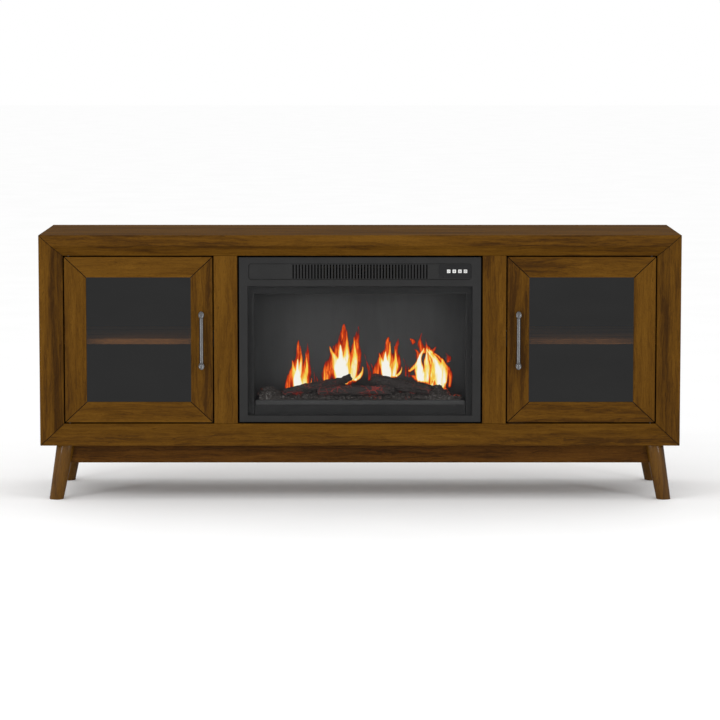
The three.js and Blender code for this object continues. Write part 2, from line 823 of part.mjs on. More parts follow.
/** The sheet-steel housing, open in front, with its air intake and its gland's hole in the back. */
function housing() {
  const tools = [
    block(
      [-insideHalf, housingFront - 1, housingFloor],
      [insideHalf, housingBack - housingWall, housingTop - housingWall],
    ),
    bar(glandRadius + touchGap, housingWall * 4, 'y', 24).translate(glandX, housingBack, glandZ),
    bar(rotorShaft + runningGap, housingWall * 4, 'x', shaftSides)
      .translate(-housingHalf, housingFront + flameRotorSetback, housingBottom + flameRotorRise),
  ];
  const intakeMiddle = (deckTop + housingTop) / 2;
  for (let i = 0; i < intakeCount; i += 1) {
    const x = (i - (intakeCount - 1) / 2) * intakePitch;
    tools.push(block(
      [x - intakeWidth / 2, housingBack - housingWall * 2, intakeMiddle - intakeHeight / 2],
      [x + intakeWidth / 2, housingBack + 1, intakeMiddle + intakeHeight / 2],
    ));
  }
  const shell = block([-housingHalf, housingFront, housingBottom], [housingHalf, housingBack, housingTop]);
  return piece('insert_housing', cut(shell, tools), sheetSteel);
}

/** The gland for the mains lead, a flanged ring in the housing's back. */
function cordGland() {
  const profile = [
    [glandBore, 0],
    [glandRadius, 0],
    [glandRadius, glandLength - glandFlange],
    [glandRadius + glandFlange, glandLength - glandFlange],
    [glandRadius + glandFlange, glandLength],
    [glandBore, glandLength],
    [glandBore, 0],
  ].map(([radius, along]) => new THREE.Vector2(radius, along));
  const ring = facingOut(welded(new THREE.LatheGeometry(profile, 24)).toNonIndexed());
  const start = housingBack + touchGap - (glandLength - glandFlange);
  return piece('cord_gland', ring, blackPlastic, glandX, start, glandZ);
}

/** The deck between the firebox and the heater. */
function deck() {
  const half = insideHalf - touchGap;
  const sheet = block(
    [-half, housingFront + housingWall, deckBottom],
    [half, housingBack - housingWall - touchGap, deckTop],
  );
  return piece('heater_deck', sheet, sheetSteel);
}

/** The tray under the logs, open below. */
function emberTray() {
  const front = housingFront + housingWall;
  const low = housingFloor + touchGap;
  const shell = block([-trayHalf, front, low], [trayHalf, front + trayDepth, trayTop]);
  const hollow = block(
    [-trayHalf + trayWall, front + trayWall, low - 1],
    [trayHalf - trayWall, front + trayDepth - trayWall, trayTop - trayWall],
  );
  return piece('ember_tray', cut(shell, [hollow]), satinBlack);
}

/** The moulded logs on their bed of embers, one body. */
function logSet() {
  const middle = housingFront + housingWall + trayDepth / 2;
  const bedHalf = trayHalf - bedInset;
  const log = (radius, from, to) => {
    const start = new THREE.Vector3(...from);
    const along = new THREE.Vector3(...to).sub(start);
    const round = new THREE.CylinderGeometry(radius * logTaper, radius, along.length(), logSides);
    round.applyQuaternion(new THREE.Quaternion().setFromUnitVectors(
      new THREE.Vector3(0, 1, 0), along.clone().normalize(),
    ));
    return round.translate(...start.addScaledVector(along, 0.5).toArray());
  };
  const bed = block([-bedHalf, -bedDepth / 2, 0], [bedHalf, bedDepth / 2, bedHeight]);
  const logs = logPlaces.map(([radius, from, to]) => log(radius, from, to));
  const trimmed = common(join([bed, ...logs]), block([-bedHalf, -bedDepth, 0], [bedHalf, bedDepth, bedRoom]));
  return piece('log_set', trimmed, charredResin, 0, middle, trayTop + touchGap);
}

/** The frame just inside the view, standing on the housing's floor beside the tray and open below. */
function viewSurround() {
  const front = housingFront + housingWall;
  const outer = insideHalf - touchGap;
  const inner = viewHalf - surroundWidth;
  const low = housingFloor + touchGap;
  const sheet = block([-outer, front, low], [outer, front + surroundThickness, deckBottom - touchGap]);
  const window = block(
    [-inner, front - 1, low - 1],
    [inner, front + surroundThickness + 1, viewTop - surroundHeight],
  );
  return piece('view_surround', cut(sheet, [window]), satinBlack);
}

/** The screen at the back of the firebox that shows the flames. */
function flameScreen() {
  const half = insideHalf - touchGap;
  const front = housingFront + screenSetback;
  const sheet = block(
    [-half, front, housingFloor + touchGap],
    [half, front + screenThickness, deckBottom - touchGap],
  );
  return piece('flame_screen', sheet, screenGrey);
}

// ---- Insert: flame effect ----------------------------------------------------------------------

/** The turning rod whose foil vanes throw moving light up the flame screen, and its motor. */
function flameEffect() {
  const parts = new THREE.Group();
  const motorStart = insideHalf - touchGap - flameMotorLength;
  const vaneStart = -insideHalf + flameRotorMargin;
  const vaneEnd = motorStart - flameRotorMargin;
  parts.position.set(0, housingFront + flameRotorSetback, housingBottom + flameRotorRise);
  const vanes = rail(star(flameRotorVanes, rotorShaft + vaneRoot, flameRotorRadius), vaneStart, vaneEnd);
  const shaftStart = -insideHalf - housingWall / 2;
  const shaftEnd = motorStart + motorShaftDepth - 1;
  const shaft = bar(rotorShaft, shaftEnd - shaftStart, 'x', shaftSides)
    .translate((shaftStart + shaftEnd) / 2, 0, 0);
  parts.add(piece('flame_rotor', join([vanes, shaft]), reflectiveFoil));
  parts.add(piece('flame_motor', motor(flameMotorRadius, flameMotorLength), zincSteel, motorStart));
  return parts;
}

/** A star outline in Y and Z with one point for each vane. */
function star(points, inner, outer) {
  const outline = new THREE.Shape();
  for (let i = 0; i < points * 2; i += 1) {
    const angle = (i * Math.PI) / points;
    const radius = i % 2 === 0 ? outer : inner;
    const [y, z] = [radius * Math.cos(angle), radius * Math.sin(angle)];
    if (i === 0) outline.moveTo(y, z);
    else outline.lineTo(y, z);
  }
  outline.closePath();
  return outline;
}

/** A round motor whose shaft bore opens at x = 0. */
function motor(radius, length) {
  const body = bar(radius, length, 'x').translate(length / 2, 0, 0);
  const bore = bar(rotorShaft + runningGap, motorShaftDepth * 2, 'x', shaftSides);
  return cut(body, [bore]);
}

/** The light bar under the flame rotor. */
function ledBar() {
  const half = (ledCount * ledPitch) / 2;
  const parts = [block([-half, 0, 0], [half, ledDepth, ledBoard])];
  for (let i = 0; i < ledCount; i += 1) {
    const x = (i - (ledCount - 1) / 2) * ledPitch;
    parts.push(block(
      [x - ledChip, ledDepth / 2 - ledChip, ledBoard / 2],
      [x + ledChip, ledDepth / 2 + ledChip, ledBoard + ledChip / 2],
    ));
  }
  return piece('led_bar', join(parts), circuitGreen, 0, housingFront + ledSetback, housingFloor + touchGap);
}

// ---- Insert: heater and blower -----------------------------------------------------------------

/** The heating element: a frame of upright bars across the outlet. */
function heater() {
  const half = rotorLength / 2;
  const windows = heaterBars + 1;
  const pitch = (rotorLength - heaterFrame) / windows;
  const tools = Array.from({ length: windows }, (_, i) => {
    const left = -half + heaterFrame + i * pitch;
    return block(
      [left, -1, heaterFrame],
      [left + pitch - heaterFrame, heaterThickness + 1, heaterHeight - heaterFrame],
    );
  });
  const frame = cut(block([-half, 0, 0], [half, heaterThickness, heaterHeight]), tools);
  return piece('heating_element', frame, mica, 0, housingFront + heaterSetback, deckTop + touchGap);
}

/** The blower: a long bladed rotor in its duct, with the motor on its end. */
function blower() {
  const parts = new THREE.Group();
  parts.position.set(0, housingFront + rotorSetback, deckTop + rotorRise);
  const half = rotorLength / 2;
  const inside = rotorRadius + ductClearance;
  const outside = inside + ductWall;
  const endInner = half + ductClearance;
  const endOuter = endInner + ductEnd;
  const motorStart = endOuter + touchGap;

  const blades = rail(star(rotorBlades, rotorRadius - bladeDepth, rotorRadius), -half, half);
  const shaftEnd = motorStart + motorShaftDepth - 1;
  const shaftStart = -endOuter - ductEnd;
  const shaft = bar(rotorShaft, shaftEnd - shaftStart, 'x', shaftSides)
    .translate((shaftStart + shaftEnd) / 2, 0, 0);
  parts.add(piece('blower_rotor', join([blades, shaft]), sheetSteel));

  const from = THREE.MathUtils.degToRad(ductFrom);
  const to = THREE.MathUtils.degToRad(ductTo);
  const wall = new THREE.Shape();
  wall.absarc(0, 0, outside, from, to, false);
  wall.absarc(0, 0, inside, to, from, true);
  wall.closePath();
  const foot = -rotorRise + touchGap;
  const ends = [-1, 1].map((side) => cut(
    block([side * endInner, -outside, foot], [side * endOuter, outside, outside]),
    [bar(rotorShaft + runningGap, ductEnd * 4, 'x', shaftSides).translate(side * endInner, 0, 0)],
  ));
  const duct = rail(wall, -endInner - ductEnd / 2, endInner + ductEnd / 2, 12);
  parts.add(piece('blower_duct', join([duct, ...ends]), zincSteel));
  parts.add(piece('blower_motor', motor(motorRadius, motorLength), zincSteel, motorStart));
  return parts;
}

// ---- Assembly ----------------------------------------------------------------------------------

/** The insert with everything in it. */
function insert() {
  const unit = new THREE.Group();
  unit.position.set(0, recessY, bezelBottom);
  unit.add(bezel(), frontGlass(), controlPanel(), controlBoard());
  buttonPlaces.forEach((x, i) => {
    unit.add(piece(`button_${i + 1}`, buttonBody(), iconWhite, x, 0, buttonHeight));
  });
  unit.add(housing(), cordGland(), deck(), viewSurround(), emberTray(), logSet(), flameScreen());
  unit.add(flameEffect(), ledBar(), heater(), blower());
  return unit;
}

const fireplace = new THREE.Group();
fireplace.add(caseBoards(), floorPanel(), backPanel(), base());
for (const [side, name] of [[-1, 'left'], [1, 'right']]) {
  fireplace.add(divider(side, name), shelf(side, name), door(side, name));
}
fireplace.add(insert());

export default fireplace;
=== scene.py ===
"""A walnut media console with an electric fire between two glazed cabinets: its looks, around its frame."""

import logging
import math
import random
import zlib
from dataclasses import dataclass, field, replace
from enum import Enum
from typing import Callable, Sequence

import bmesh
import bpy
from mathutils import Matrix, Vector, noise


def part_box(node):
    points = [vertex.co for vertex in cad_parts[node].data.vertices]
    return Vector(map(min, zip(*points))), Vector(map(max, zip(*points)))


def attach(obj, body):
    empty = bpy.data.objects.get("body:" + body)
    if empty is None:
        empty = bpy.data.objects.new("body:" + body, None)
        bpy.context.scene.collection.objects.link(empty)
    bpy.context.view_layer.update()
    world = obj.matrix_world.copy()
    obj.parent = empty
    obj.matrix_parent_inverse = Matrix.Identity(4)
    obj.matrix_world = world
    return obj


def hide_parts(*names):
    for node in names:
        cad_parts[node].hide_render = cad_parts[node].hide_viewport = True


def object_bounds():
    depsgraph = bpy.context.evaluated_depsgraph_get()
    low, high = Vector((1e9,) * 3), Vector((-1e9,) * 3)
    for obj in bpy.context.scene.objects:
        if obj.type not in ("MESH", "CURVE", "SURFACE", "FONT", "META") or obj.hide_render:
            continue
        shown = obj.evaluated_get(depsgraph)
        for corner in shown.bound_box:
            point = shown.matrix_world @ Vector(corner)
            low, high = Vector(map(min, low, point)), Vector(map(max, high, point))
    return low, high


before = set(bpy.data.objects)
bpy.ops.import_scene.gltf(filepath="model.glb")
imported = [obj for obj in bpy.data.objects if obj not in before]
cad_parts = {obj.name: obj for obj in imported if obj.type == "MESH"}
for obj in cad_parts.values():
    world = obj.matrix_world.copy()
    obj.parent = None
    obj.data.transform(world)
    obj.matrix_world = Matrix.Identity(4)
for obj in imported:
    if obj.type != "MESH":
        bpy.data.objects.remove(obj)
cad_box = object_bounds()
log = logging.getLogger("fireplace")

Colour = tuple[float, float, float, float]
Point = Sequence[float]
Socket = bpy.types.NodeSocket
Piece = bpy.types.Object

MM = 0.001
QUARTER = math.pi / 2
BLACK: Colour = (0.0, 0.0, 0.0, 1.0)
SIDES = ("left", "right")


def screen(red: int, green: int, blue: int) -> Colour:
    """A colour in linear values.

    Args:
        red: red as a screen shows it, from 0 to 255.
        green: green, the same way.
        blue: blue, the same way.

    Returns:
        The colour that a node takes, with full alpha.
    """
    shares = [value / 255 for value in (red, green, blue)]
    linear = [v / 12.92 if v <= 0.04045 else ((v + 0.055) / 1.055) ** 2.4 for v in shares]
    return (linear[0], linear[1], linear[2], 1.0)


def scaled(colour: Colour, share: float) -> Colour:
    """A colour made darker, or paler with a share over 1."""
    return (colour[0] * share, colour[1] * share, colour[2] * share, 1.0)


def circle(count: int) -> list[float]:
    """Even angles once round, in radians."""
    return [2 * math.pi * i / count for i in range(count)]


# ---- Node trees ---------------------------------------------------------------------------------


class Grain(Enum):
    """The way that a board's grain or a brushed finish runs."""

    ACROSS = "across"
    DEEP = "deep"
    UPRIGHT = "upright"

    def turn(self) -> Point:
        """The turn that brings this direction onto X."""
        turns = {Grain.ACROSS: (0, 0, 0), Grain.DEEP: (0, 0, -QUARTER), Grain.UPRIGHT: (0, QUARTER, 0)}
        return turns[self]


class Graph:
    """A node tree with short calls that add nodes and join them."""

    def __init__(self, tree: bpy.types.NodeTree) -> None:
        """Takes over a tree and empties it."""
        self.tree = tree
        self.tree.nodes.clear()

    def add(self, kind: str, values: dict | None = None, **settings: object) -> bpy.types.Node:
        """Adds a node.

        Args:
            kind: the node's type name.
            values: what its inputs get, by name or number: a constant, or another node's output.
            settings: its own options.

        Returns:
            The node.
        """
        node = self.tree.nodes.new(kind)
        for name, value in settings.items():
            setattr(node, name, value)
        for key, value in (values or {}).items():
            if isinstance(value, Socket):
                self.tree.links.new(value, node.inputs[key])
            else:
                node.inputs[key].default_value = value
        return node

    def out(
        self, kind: str, values: dict | None = None, output: str | int = 0, **settings: object
    ) -> Socket:
        """Adds a node, as add does, and gives the output of this name or number."""
        return self.add(kind, values, **settings).outputs[output]

    def sum(self, operation: str, first: object, second: object = 0.0) -> Socket:
        """The result of one arithmetic operation on two values."""
        return self.out("ShaderNodeMath", {0: first, 1: second}, operation=operation)

    def vectors(self, operation: str, *values: object, **named: object) -> Socket:
        """The result of one operation on vectors, with its Scale where it takes one."""
        inputs = {**dict(enumerate(values)), **named}
        return self.out("ShaderNodeVectorMath", inputs, operation=operation)


class Paint(Graph):
    """The tree of one piece's material; its patterns read Object coordinates."""

    def __init__(self, name: str, piece: str = "") -> None:
        """Makes an empty material.

        Args:
            name: the material's name.
            piece: the name of the piece that it is made for.
        """
        self.piece = piece
        self.material = bpy.data.materials.new(name)
        self.material.use_nodes = True
        super().__init__(self.material.node_tree)
        self.spot = self.out("ShaderNodeTexCoord", output="Object")

    def place(
        self, scale: Point, source: Socket | None = None, shift: Point = (0, 0, 0), turn: Point = (0, 0, 0)
    ) -> Socket:
        """Stretches, turns and shifts a pattern's coordinates.

        Args:
            scale: how often the pattern repeats in a metre, each way.
            source: the coordinates to start from, or None for the piece's own.
            shift: how far they move.
            turn: how far they turn.

        Returns:
            The new coordinates.
        """
        values = {"Vector": source or self.spot, "Location": shift, "Rotation": turn, "Scale": scale}
        return self.out("ShaderNodeMapping", values)

    def noise(
        self, scale: float | Point, detail: float = 3, rough: float = 0.5, twist: float = 0.0,
        source: Socket | None = None,
    ) -> Socket:
        """A smooth random value, about 0.5 on average.

        Args:
            scale: how often it repeats in a metre, the same or different each way.
            detail: how many finer layers it has.
            rough: how strong they are.
            twist: how far it is distorted.
            source: the coordinates to start from, or None for the piece's own.

        Returns:
            The value.
        """
        each_way = scale if isinstance(scale, tuple) else (scale, scale, scale)
        where = self.place(each_way, source)
        values = {"Vector": where, "Scale": 1, "Detail": detail, "Roughness": rough, "Distortion": twist}
        return self.out("ShaderNodeTexNoise", values, output="Fac")

    def spread(self, value: Socket, low: float, high: float, start: float = 0.0, end: float = 1.0) -> Socket:
        """Carries the range from low to high over to start to end, and holds it there.

        Args:
            value: the value.
            low: the value that gives start.
            high: the value that gives end.
            start: the result at low.
            end: the result at high.

        Returns:
            The new value.
        """
        values = {"Value": value, "From Min": low, "From Max": high, "To Min": start, "To Max": end}
        return self.out("ShaderNodeMapRange", values)

    def ramp(self, value: Socket, stops: Sequence[tuple[float, Colour]]) -> Socket:
        """A colour that changes with a value.

        Args:
            value: the value.
            stops: pairs of a value and the colour there, in rising order.

        Returns:
            The colour.
        """
        node = self.add("ShaderNodeValToRGB", {"Fac": value})
        elements = node.color_ramp.elements
        elements[0].position, elements[0].color = stops[0]
        elements[1].position, elements[1].color = stops[-1]
        for position, colour in stops[1:-1]:
            elements.new(position).color = colour
        return node.outputs["Color"]

    def mix(self, share: object, first: object, second: object, mode: str = "MIX") -> Socket:
        """Two colours mixed, by the second one's share and in a mode."""
        values = {0: share, 6: first, 7: second}
        return self.out("ShaderNodeMix", values, output=2, data_type="RGBA", blend_type=mode)

    def bump(self, height: Socket, depth: float) -> Socket:
        """A normal that shows a height from 0 to 1, with 1 this many metres deep."""
        return self.out("ShaderNodeBump", {"Height": height, "Distance": depth, "Strength": 1.0})

    def surface(self, **values: object) -> bpy.types.Material:
        """Ends the tree in a surface.

        Args:
            values: the surface's inputs, with _ for a space.

        Returns:
            The material.
        """
        inputs = {name.replace("_", " "): value for name, value in values.items()}
        node = self.add("ShaderNodeBsdfPrincipled", inputs)
        self.add("ShaderNodeOutputMaterial", {"Surface": node.outputs[0]})
        return self.material


# ---- Finishes -----------------------------------------------------------------------------------


@dataclass(frozen=True)
class Finish:
    """A finish of the record, by its slot; each kind below says how it looks."""

    slot: str

    def material(self, piece: str) -> bpy.types.Material:
        """Gives the material of a piece, made once for all pieces with the same finish."""
        name = f"{self.slot}_{zlib.crc32(repr(self).encode()):08x}"
        return bpy.data.materials.get(name) or self.paint(Paint(name, piece))

    def paint(self, tree: Paint) -> bpy.types.Material:
        """Builds the material in an empty tree and gives it; each kind of finish has its own way."""
        raise NotImplementedError


@dataclass(frozen=True)
class Wood(Finish):
    """Stained and lacquered timber; each board is cut from a place of its own in the log."""

    pale: Colour
    middle: Colour
    dark: Colour
    gloss: float = 0.46
    grain: Grain = Grain.ACROSS
    lacquer: float = 0.06
    haze: float = 0.34

    def along(self, grain: Grain) -> "Wood":
        """The same timber with its grain the other way."""
        return replace(self, grain=grain)

    def material(self, piece: str) -> bpy.types.Material:
        """Gives the material of one board, made for that board alone."""
        return self.paint(Paint(f"{self.slot}_{self.grain.value}_{piece}", piece))

    def paint(self, tree: Paint) -> bpy.types.Material:
        """Builds wavy streaks, rings and pores along the grain.

        Args:
            tree: the empty tree; the board's name picks its place in the log.

        Returns:
            The material.
        """
        pick = random.Random(zlib.crc32(tree.piece.encode()))
        shift = [pick.uniform(-3, 3) for _ in range(3)]
        board = tree.place((1, 1, 1), shift=shift, turn=self.grain.turn())
        drift = tree.out("ShaderNodeTexNoise", {"Vector": tree.place((1.6, 8, 8), board)}, output="Color")
        wavy = tree.vectors("MULTIPLY_ADD", drift, (0.0, 0.022, 0.022), board)
        broad = tree.noise((1.4, 22, 22), 3, 0.55, source=wavy)
        streak = tree.noise((4.5, 95, 95), 4, 0.62, source=wavy)
        fine = tree.noise((11, 520, 520), 2, 0.6, source=wavy)
        pores = tree.noise((60, 1900, 1900), 1, 0.5, source=wavy)
        bands = {"Vector": tree.place((0.55, 7.5, 7.5), wavy), "Scale": 1, "Distortion": 5, "Detail": 2}
        rings = tree.out("ShaderNodeTexWave", bands, output="Fac", bands_direction="Y")
        tone = tree.sum("MULTIPLY", broad, 0.33)
        for layer, weight in ((streak, 0.33), (fine, 0.23), (rings, 0.08)):
            tone = tree.sum("ADD", tone, tree.sum("MULTIPLY", layer, weight))
        colour = tree.ramp(tone, [(0.39, self.dark), (0.48, self.middle), (0.60, self.pale)])
        speck = tree.spread(pores, 0.30, 0.42, 0.55, 1.0)
        shade = tree.out("ShaderNodeCombineColor", {0: speck, 1: speck, 2: speck})
        return tree.surface(
            Base_Color=tree.mix(1.0, colour, shade, "MULTIPLY"),
            Roughness=tree.spread(fine, 0.35, 0.65, self.gloss - 0.06, self.gloss + 0.09),
            Specular_IOR_Level=0.0,
            Coat_Weight=self.lacquer,
            Coat_Roughness=self.haze,
            Normal=tree.bump(tree.sum("MULTIPLY", pores, fine), 0.00035),
        )


@dataclass(frozen=True)
class Laminate(Finish):
    """Matt foil or sheet with a faint streak printed along it."""

    colour: Colour

    def paint(self, tree: Paint) -> bpy.types.Material:
        """Builds the faint streaks and a slight unevenness.

        Args:
            tree: the empty tree.

        Returns:
            The material.
        """
        streak = tree.noise((4, 70, 40), 2, 0.5)
        return tree.surface(
            Base_Color=tree.ramp(streak, [(0.35, scaled(self.colour, 0.7)), (0.65, self.colour)]),
            Roughness=tree.spread(streak, 0.3, 0.7, 0.65, 0.8),
            Specular_IOR_Level=0.05,
            Normal=tree.bump(tree.noise(28, 1), 0.0002),
        )


@dataclass(frozen=True)
class Hardboard(Finish):
    """Pressed fibre with dark flecks."""

    colour: Colour
    fleck: Colour

    def paint(self, tree: Paint) -> bpy.types.Material:
        """Builds the fibres, the flecks and the rough pressed face.

        Args:
            tree: the empty tree.

        Returns:
            The material.
        """
        fibre = tree.noise(240, 4, 0.7, 1.5)
        flecks = tree.spread(tree.noise(700, 2), 0.58, 0.68, 0.0, 0.8)
        patches = tree.spread(tree.noise(5), 0.3, 0.7, 0.0, 0.25)
        return tree.surface(
            Base_Color=tree.mix(patches, tree.mix(flecks, self.colour, self.fleck), self.fleck),
            Roughness=tree.spread(fibre, 0.3, 0.7, 0.75, 0.95),
            Specular_IOR_Level=0.2,
            Normal=tree.bump(fibre, 0.0003),
        )


@dataclass(frozen=True)
class Glass(Finish):
    """A pane that dims what is behind it by a set share and lays an even painted reflection over it, given
    off as a glow.
    """

    veil: Colour
    dim: float

    def paint(self, tree: Paint) -> bpy.types.Material:
        """Builds the pane's glowing painted reflection, with faint wiping marks in it.

        Args:
            tree: the empty tree.

        Returns:
            The material.
        """
        wiped_reflection = tree.noise(1, 2, 0.5, source=tree.place((5, 5, 12), turn=(0.0, 0.5, 0.0)))
        return tree.surface(
            Base_Color=BLACK,
            Roughness=0.15,
            Specular_IOR_Level=0.0,
            # the emission is painted reflection of the bright studio, with the wiping marks in it
            Emission_Color=tree.mix(tree.spread(wiped_reflection, 0.35, 0.7), scaled(self.veil, 0.94), self.veil),
            Emission_Strength=1.0,
            Alpha=self.dim,
        )


@dataclass(frozen=True)
class Plated(Finish):
    """Plated metal, brushed one way, worn a little where it is held."""

    colour: Colour
    brushed: Grain = Grain.UPRIGHT
    gloss: float = 0.3

    def paint(self, tree: Paint) -> bpy.types.Material:
        """Builds the brush lines and the dull patches.

        Args:
            tree: the empty tree.

        Returns:
            The material.
        """
        lying = tree.place((1, 1, 1), turn=self.brushed.turn())
        lines = tree.noise((14, 2600, 2600), 2, 0.6, source=lying)
        worn = tree.spread(tree.noise((40, 60, 60), 3, 0.6, source=lying), 0.45, 0.75, 0.0, 0.6)
        return tree.surface(
            Base_Color=tree.mix(worn, self.colour, scaled(self.colour, 1.35)),
            Metallic=1.0,
            Roughness=tree.spread(lines, 0.25, 0.75, self.gloss - 0.06, self.gloss + 0.14),
            Normal=tree.bump(lines, 0.00004),
        )


@dataclass(frozen=True)
class Enamel(Finish):
    """Satin powder coat on sheet metal."""

    colour: Colour
    gloss: float = 0.5

    def paint(self, tree: Paint) -> bpy.types.Material:
        """Builds the coat's fine orange peel and a little dust.

        Args:
            tree: the empty tree.

        Returns:
            The material.
        """
        dust = tree.noise(9, 5, 0.65)
        dusty = tree.spread(dust, 0.4, 0.75, 0.0, 0.5)
        return tree.surface(
            Base_Color=tree.mix(dusty, self.colour, scaled(self.colour, 1.45)),
            Roughness=tree.spread(dust, 0.3, 0.7, self.gloss - 0.04, self.gloss + 0.12),
            Specular_IOR_Level=0.1,
            Normal=tree.bump(tree.noise(520, 2, 0.5), 0.00012),
        )


@dataclass(frozen=True)
class Moulded(Finish):
    """Moulded plastic with a fine spark-eroded grain."""

    colour: Colour
    gloss: float = 0.45
    shine: float = 0.4

    def paint(self, tree: Paint) -> bpy.types.Material:
        """Builds the grain and slight finger marks.

        Args:
            tree: the empty tree.

        Returns:
            The material.
        """
        marks = tree.noise(60, 3, 0.6)
        return tree.surface(
            Base_Color=tree.mix(tree.spread(marks, 0.35, 0.7), self.colour, scaled(self.colour, 0.82)),
            Roughness=tree.spread(marks, 0.3, 0.7, self.gloss - 0.08, self.gloss + 0.1),
            Specular_IOR_Level=self.shine,
            Normal=tree.bump(tree.noise(1500, 1), 0.00003),
        )


@dataclass(frozen=True)
class Screen(Finish):
    """The smooth dark sheet behind the logs, faintly streaked upwards."""

    colour: Colour

    def paint(self, tree: Paint) -> bpy.types.Material:
        """Builds the streaks and a soft fall of tone.

        Args:
            tree: the empty tree.

        Returns:
            The material.
        """
        streak = tree.noise((46, 46, 5), 3, 0.55)
        cloud = tree.noise((5, 5, 4), 2)
        tone = tree.sum("ADD", tree.sum("MULTIPLY", streak, 0.5), tree.sum("MULTIPLY", cloud, 0.5))
        return tree.surface(
            Base_Color=tree.ramp(tone, [(0.4, scaled(self.colour, 0.86)), (0.6, self.colour)]),
            Roughness=tree.spread(cloud, 0.3, 0.7, 0.5, 0.62),
            Specular_IOR_Level=0.05,
        )


@dataclass(frozen=True)
class Charred(Finish):
    """Charred bark with embers glowing low in its cracks."""

    coal: Colour
    ash: Colour
    glow: Colour
    heat: float
    cracks: float
    lit: tuple[float, float]

    def paint(self, tree: Paint) -> bpy.types.Material:
        """Builds the cracked bark, its dust, which on the embers is partly painted highlight, and the glow
        in some of its cracks.

        Args:
            tree: the empty tree.

        Returns:
            The material.
        """
        bark = tree.place((self.cracks * 0.5, self.cracks, self.cracks), turn=(0.0, 0.16, 0.0))
        cells = {"Vector": bark, "Scale": 1}
        border = tree.out("ShaderNodeTexVoronoi", cells, output="Distance", feature="DISTANCE_TO_EDGE")
        rough = tree.noise((170, 260, 260), 5, 0.7)
        patch = tree.noise((16, 30, 30), 3, 0.6)
        crack = tree.spread(border, 0.0, 0.09, 1.0, 0.0)
        glowing = tree.sum("MULTIPLY", crack, tree.spread(patch, *self.lit))
        dust = tree.spread(rough, 0.5, 0.72)
        # on the embers the pale share is partly ash and partly painted highlight for the coals' glints
        dusty = tree.sum("MULTIPLY", dust, tree.spread(patch, 0.3, 0.5, 0.7, 0.1))
        plates = tree.spread(border, 0.0, 0.16, 0.0, 0.7)
        height = tree.sum("ADD", plates, tree.sum("MULTIPLY", rough, 0.5))
        return tree.surface(
            Base_Color=tree.mix(dusty, self.coal, self.ash),
            Roughness=tree.spread(rough, 0.3, 0.7, 0.8, 1.0),
            Specular_IOR_Level=0.15,
            Emission_Color=tree.mix(glowing, BLACK, self.glow),
            Emission_Strength=self.heat,
            Normal=tree.bump(height, 0.0022),
        )


@dataclass(frozen=True)
class Fire(Finish):
    """The light of a flame, from the warmth that its mesh carries at each point."""

    red: Colour
    orange: Colour
    yellow: Colour
    white: Colour

    def paint(self, tree: Paint) -> bpy.types.Material:
        """Builds the colours by warmth, and lets the cool edge fade out.

        Args:
            tree: the empty tree.

        Returns:
            The material.
        """
        carried = tree.out("ShaderNodeAttribute", output="Fac", attribute_name="warmth")
        wisps = tree.noise((150, 150, 24), 3, 0.6, 0.6)
        warmth = tree.sum("ADD", carried, tree.spread(wisps, 0.3, 0.7, -0.20, 0.20))
        stops = [
            (0.02, (self.red[0] * 0.45, self.red[1] * 0.4, self.red[2], 1.0)),
            (0.26, self.red),
            (0.44, self.orange),
            (0.70, self.yellow),
            (1.00, self.white),
        ]
        return tree.surface(
            Base_Color=BLACK,
            Roughness=1.0,
            Specular_IOR_Level=0.0,
            Emission_Color=tree.ramp(warmth, stops),
            Emission_Strength=1.0,
            Alpha=tree.spread(warmth, 0.04, 0.42),
        )


@dataclass(frozen=True)
class HotWire(Finish):
    """Dull heating wire with a warm oxide bloom."""

    colour: Colour
    bloom: Colour

    def paint(self, tree: Paint) -> bpy.types.Material:
        """Builds the oxide bands along the wire.

        Args:
            tree: the empty tree.

        Returns:
            The material.
        """
        bands = tree.noise((30, 400, 400), 2)
        return tree.surface(
            Base_Color=tree.mix(tree.spread(bands, 0.4, 0.65), self.colour, self.bloom),
            Metallic=0.9,
            Roughness=tree.spread(bands, 0.3, 0.7, 0.35, 0.6),
        )


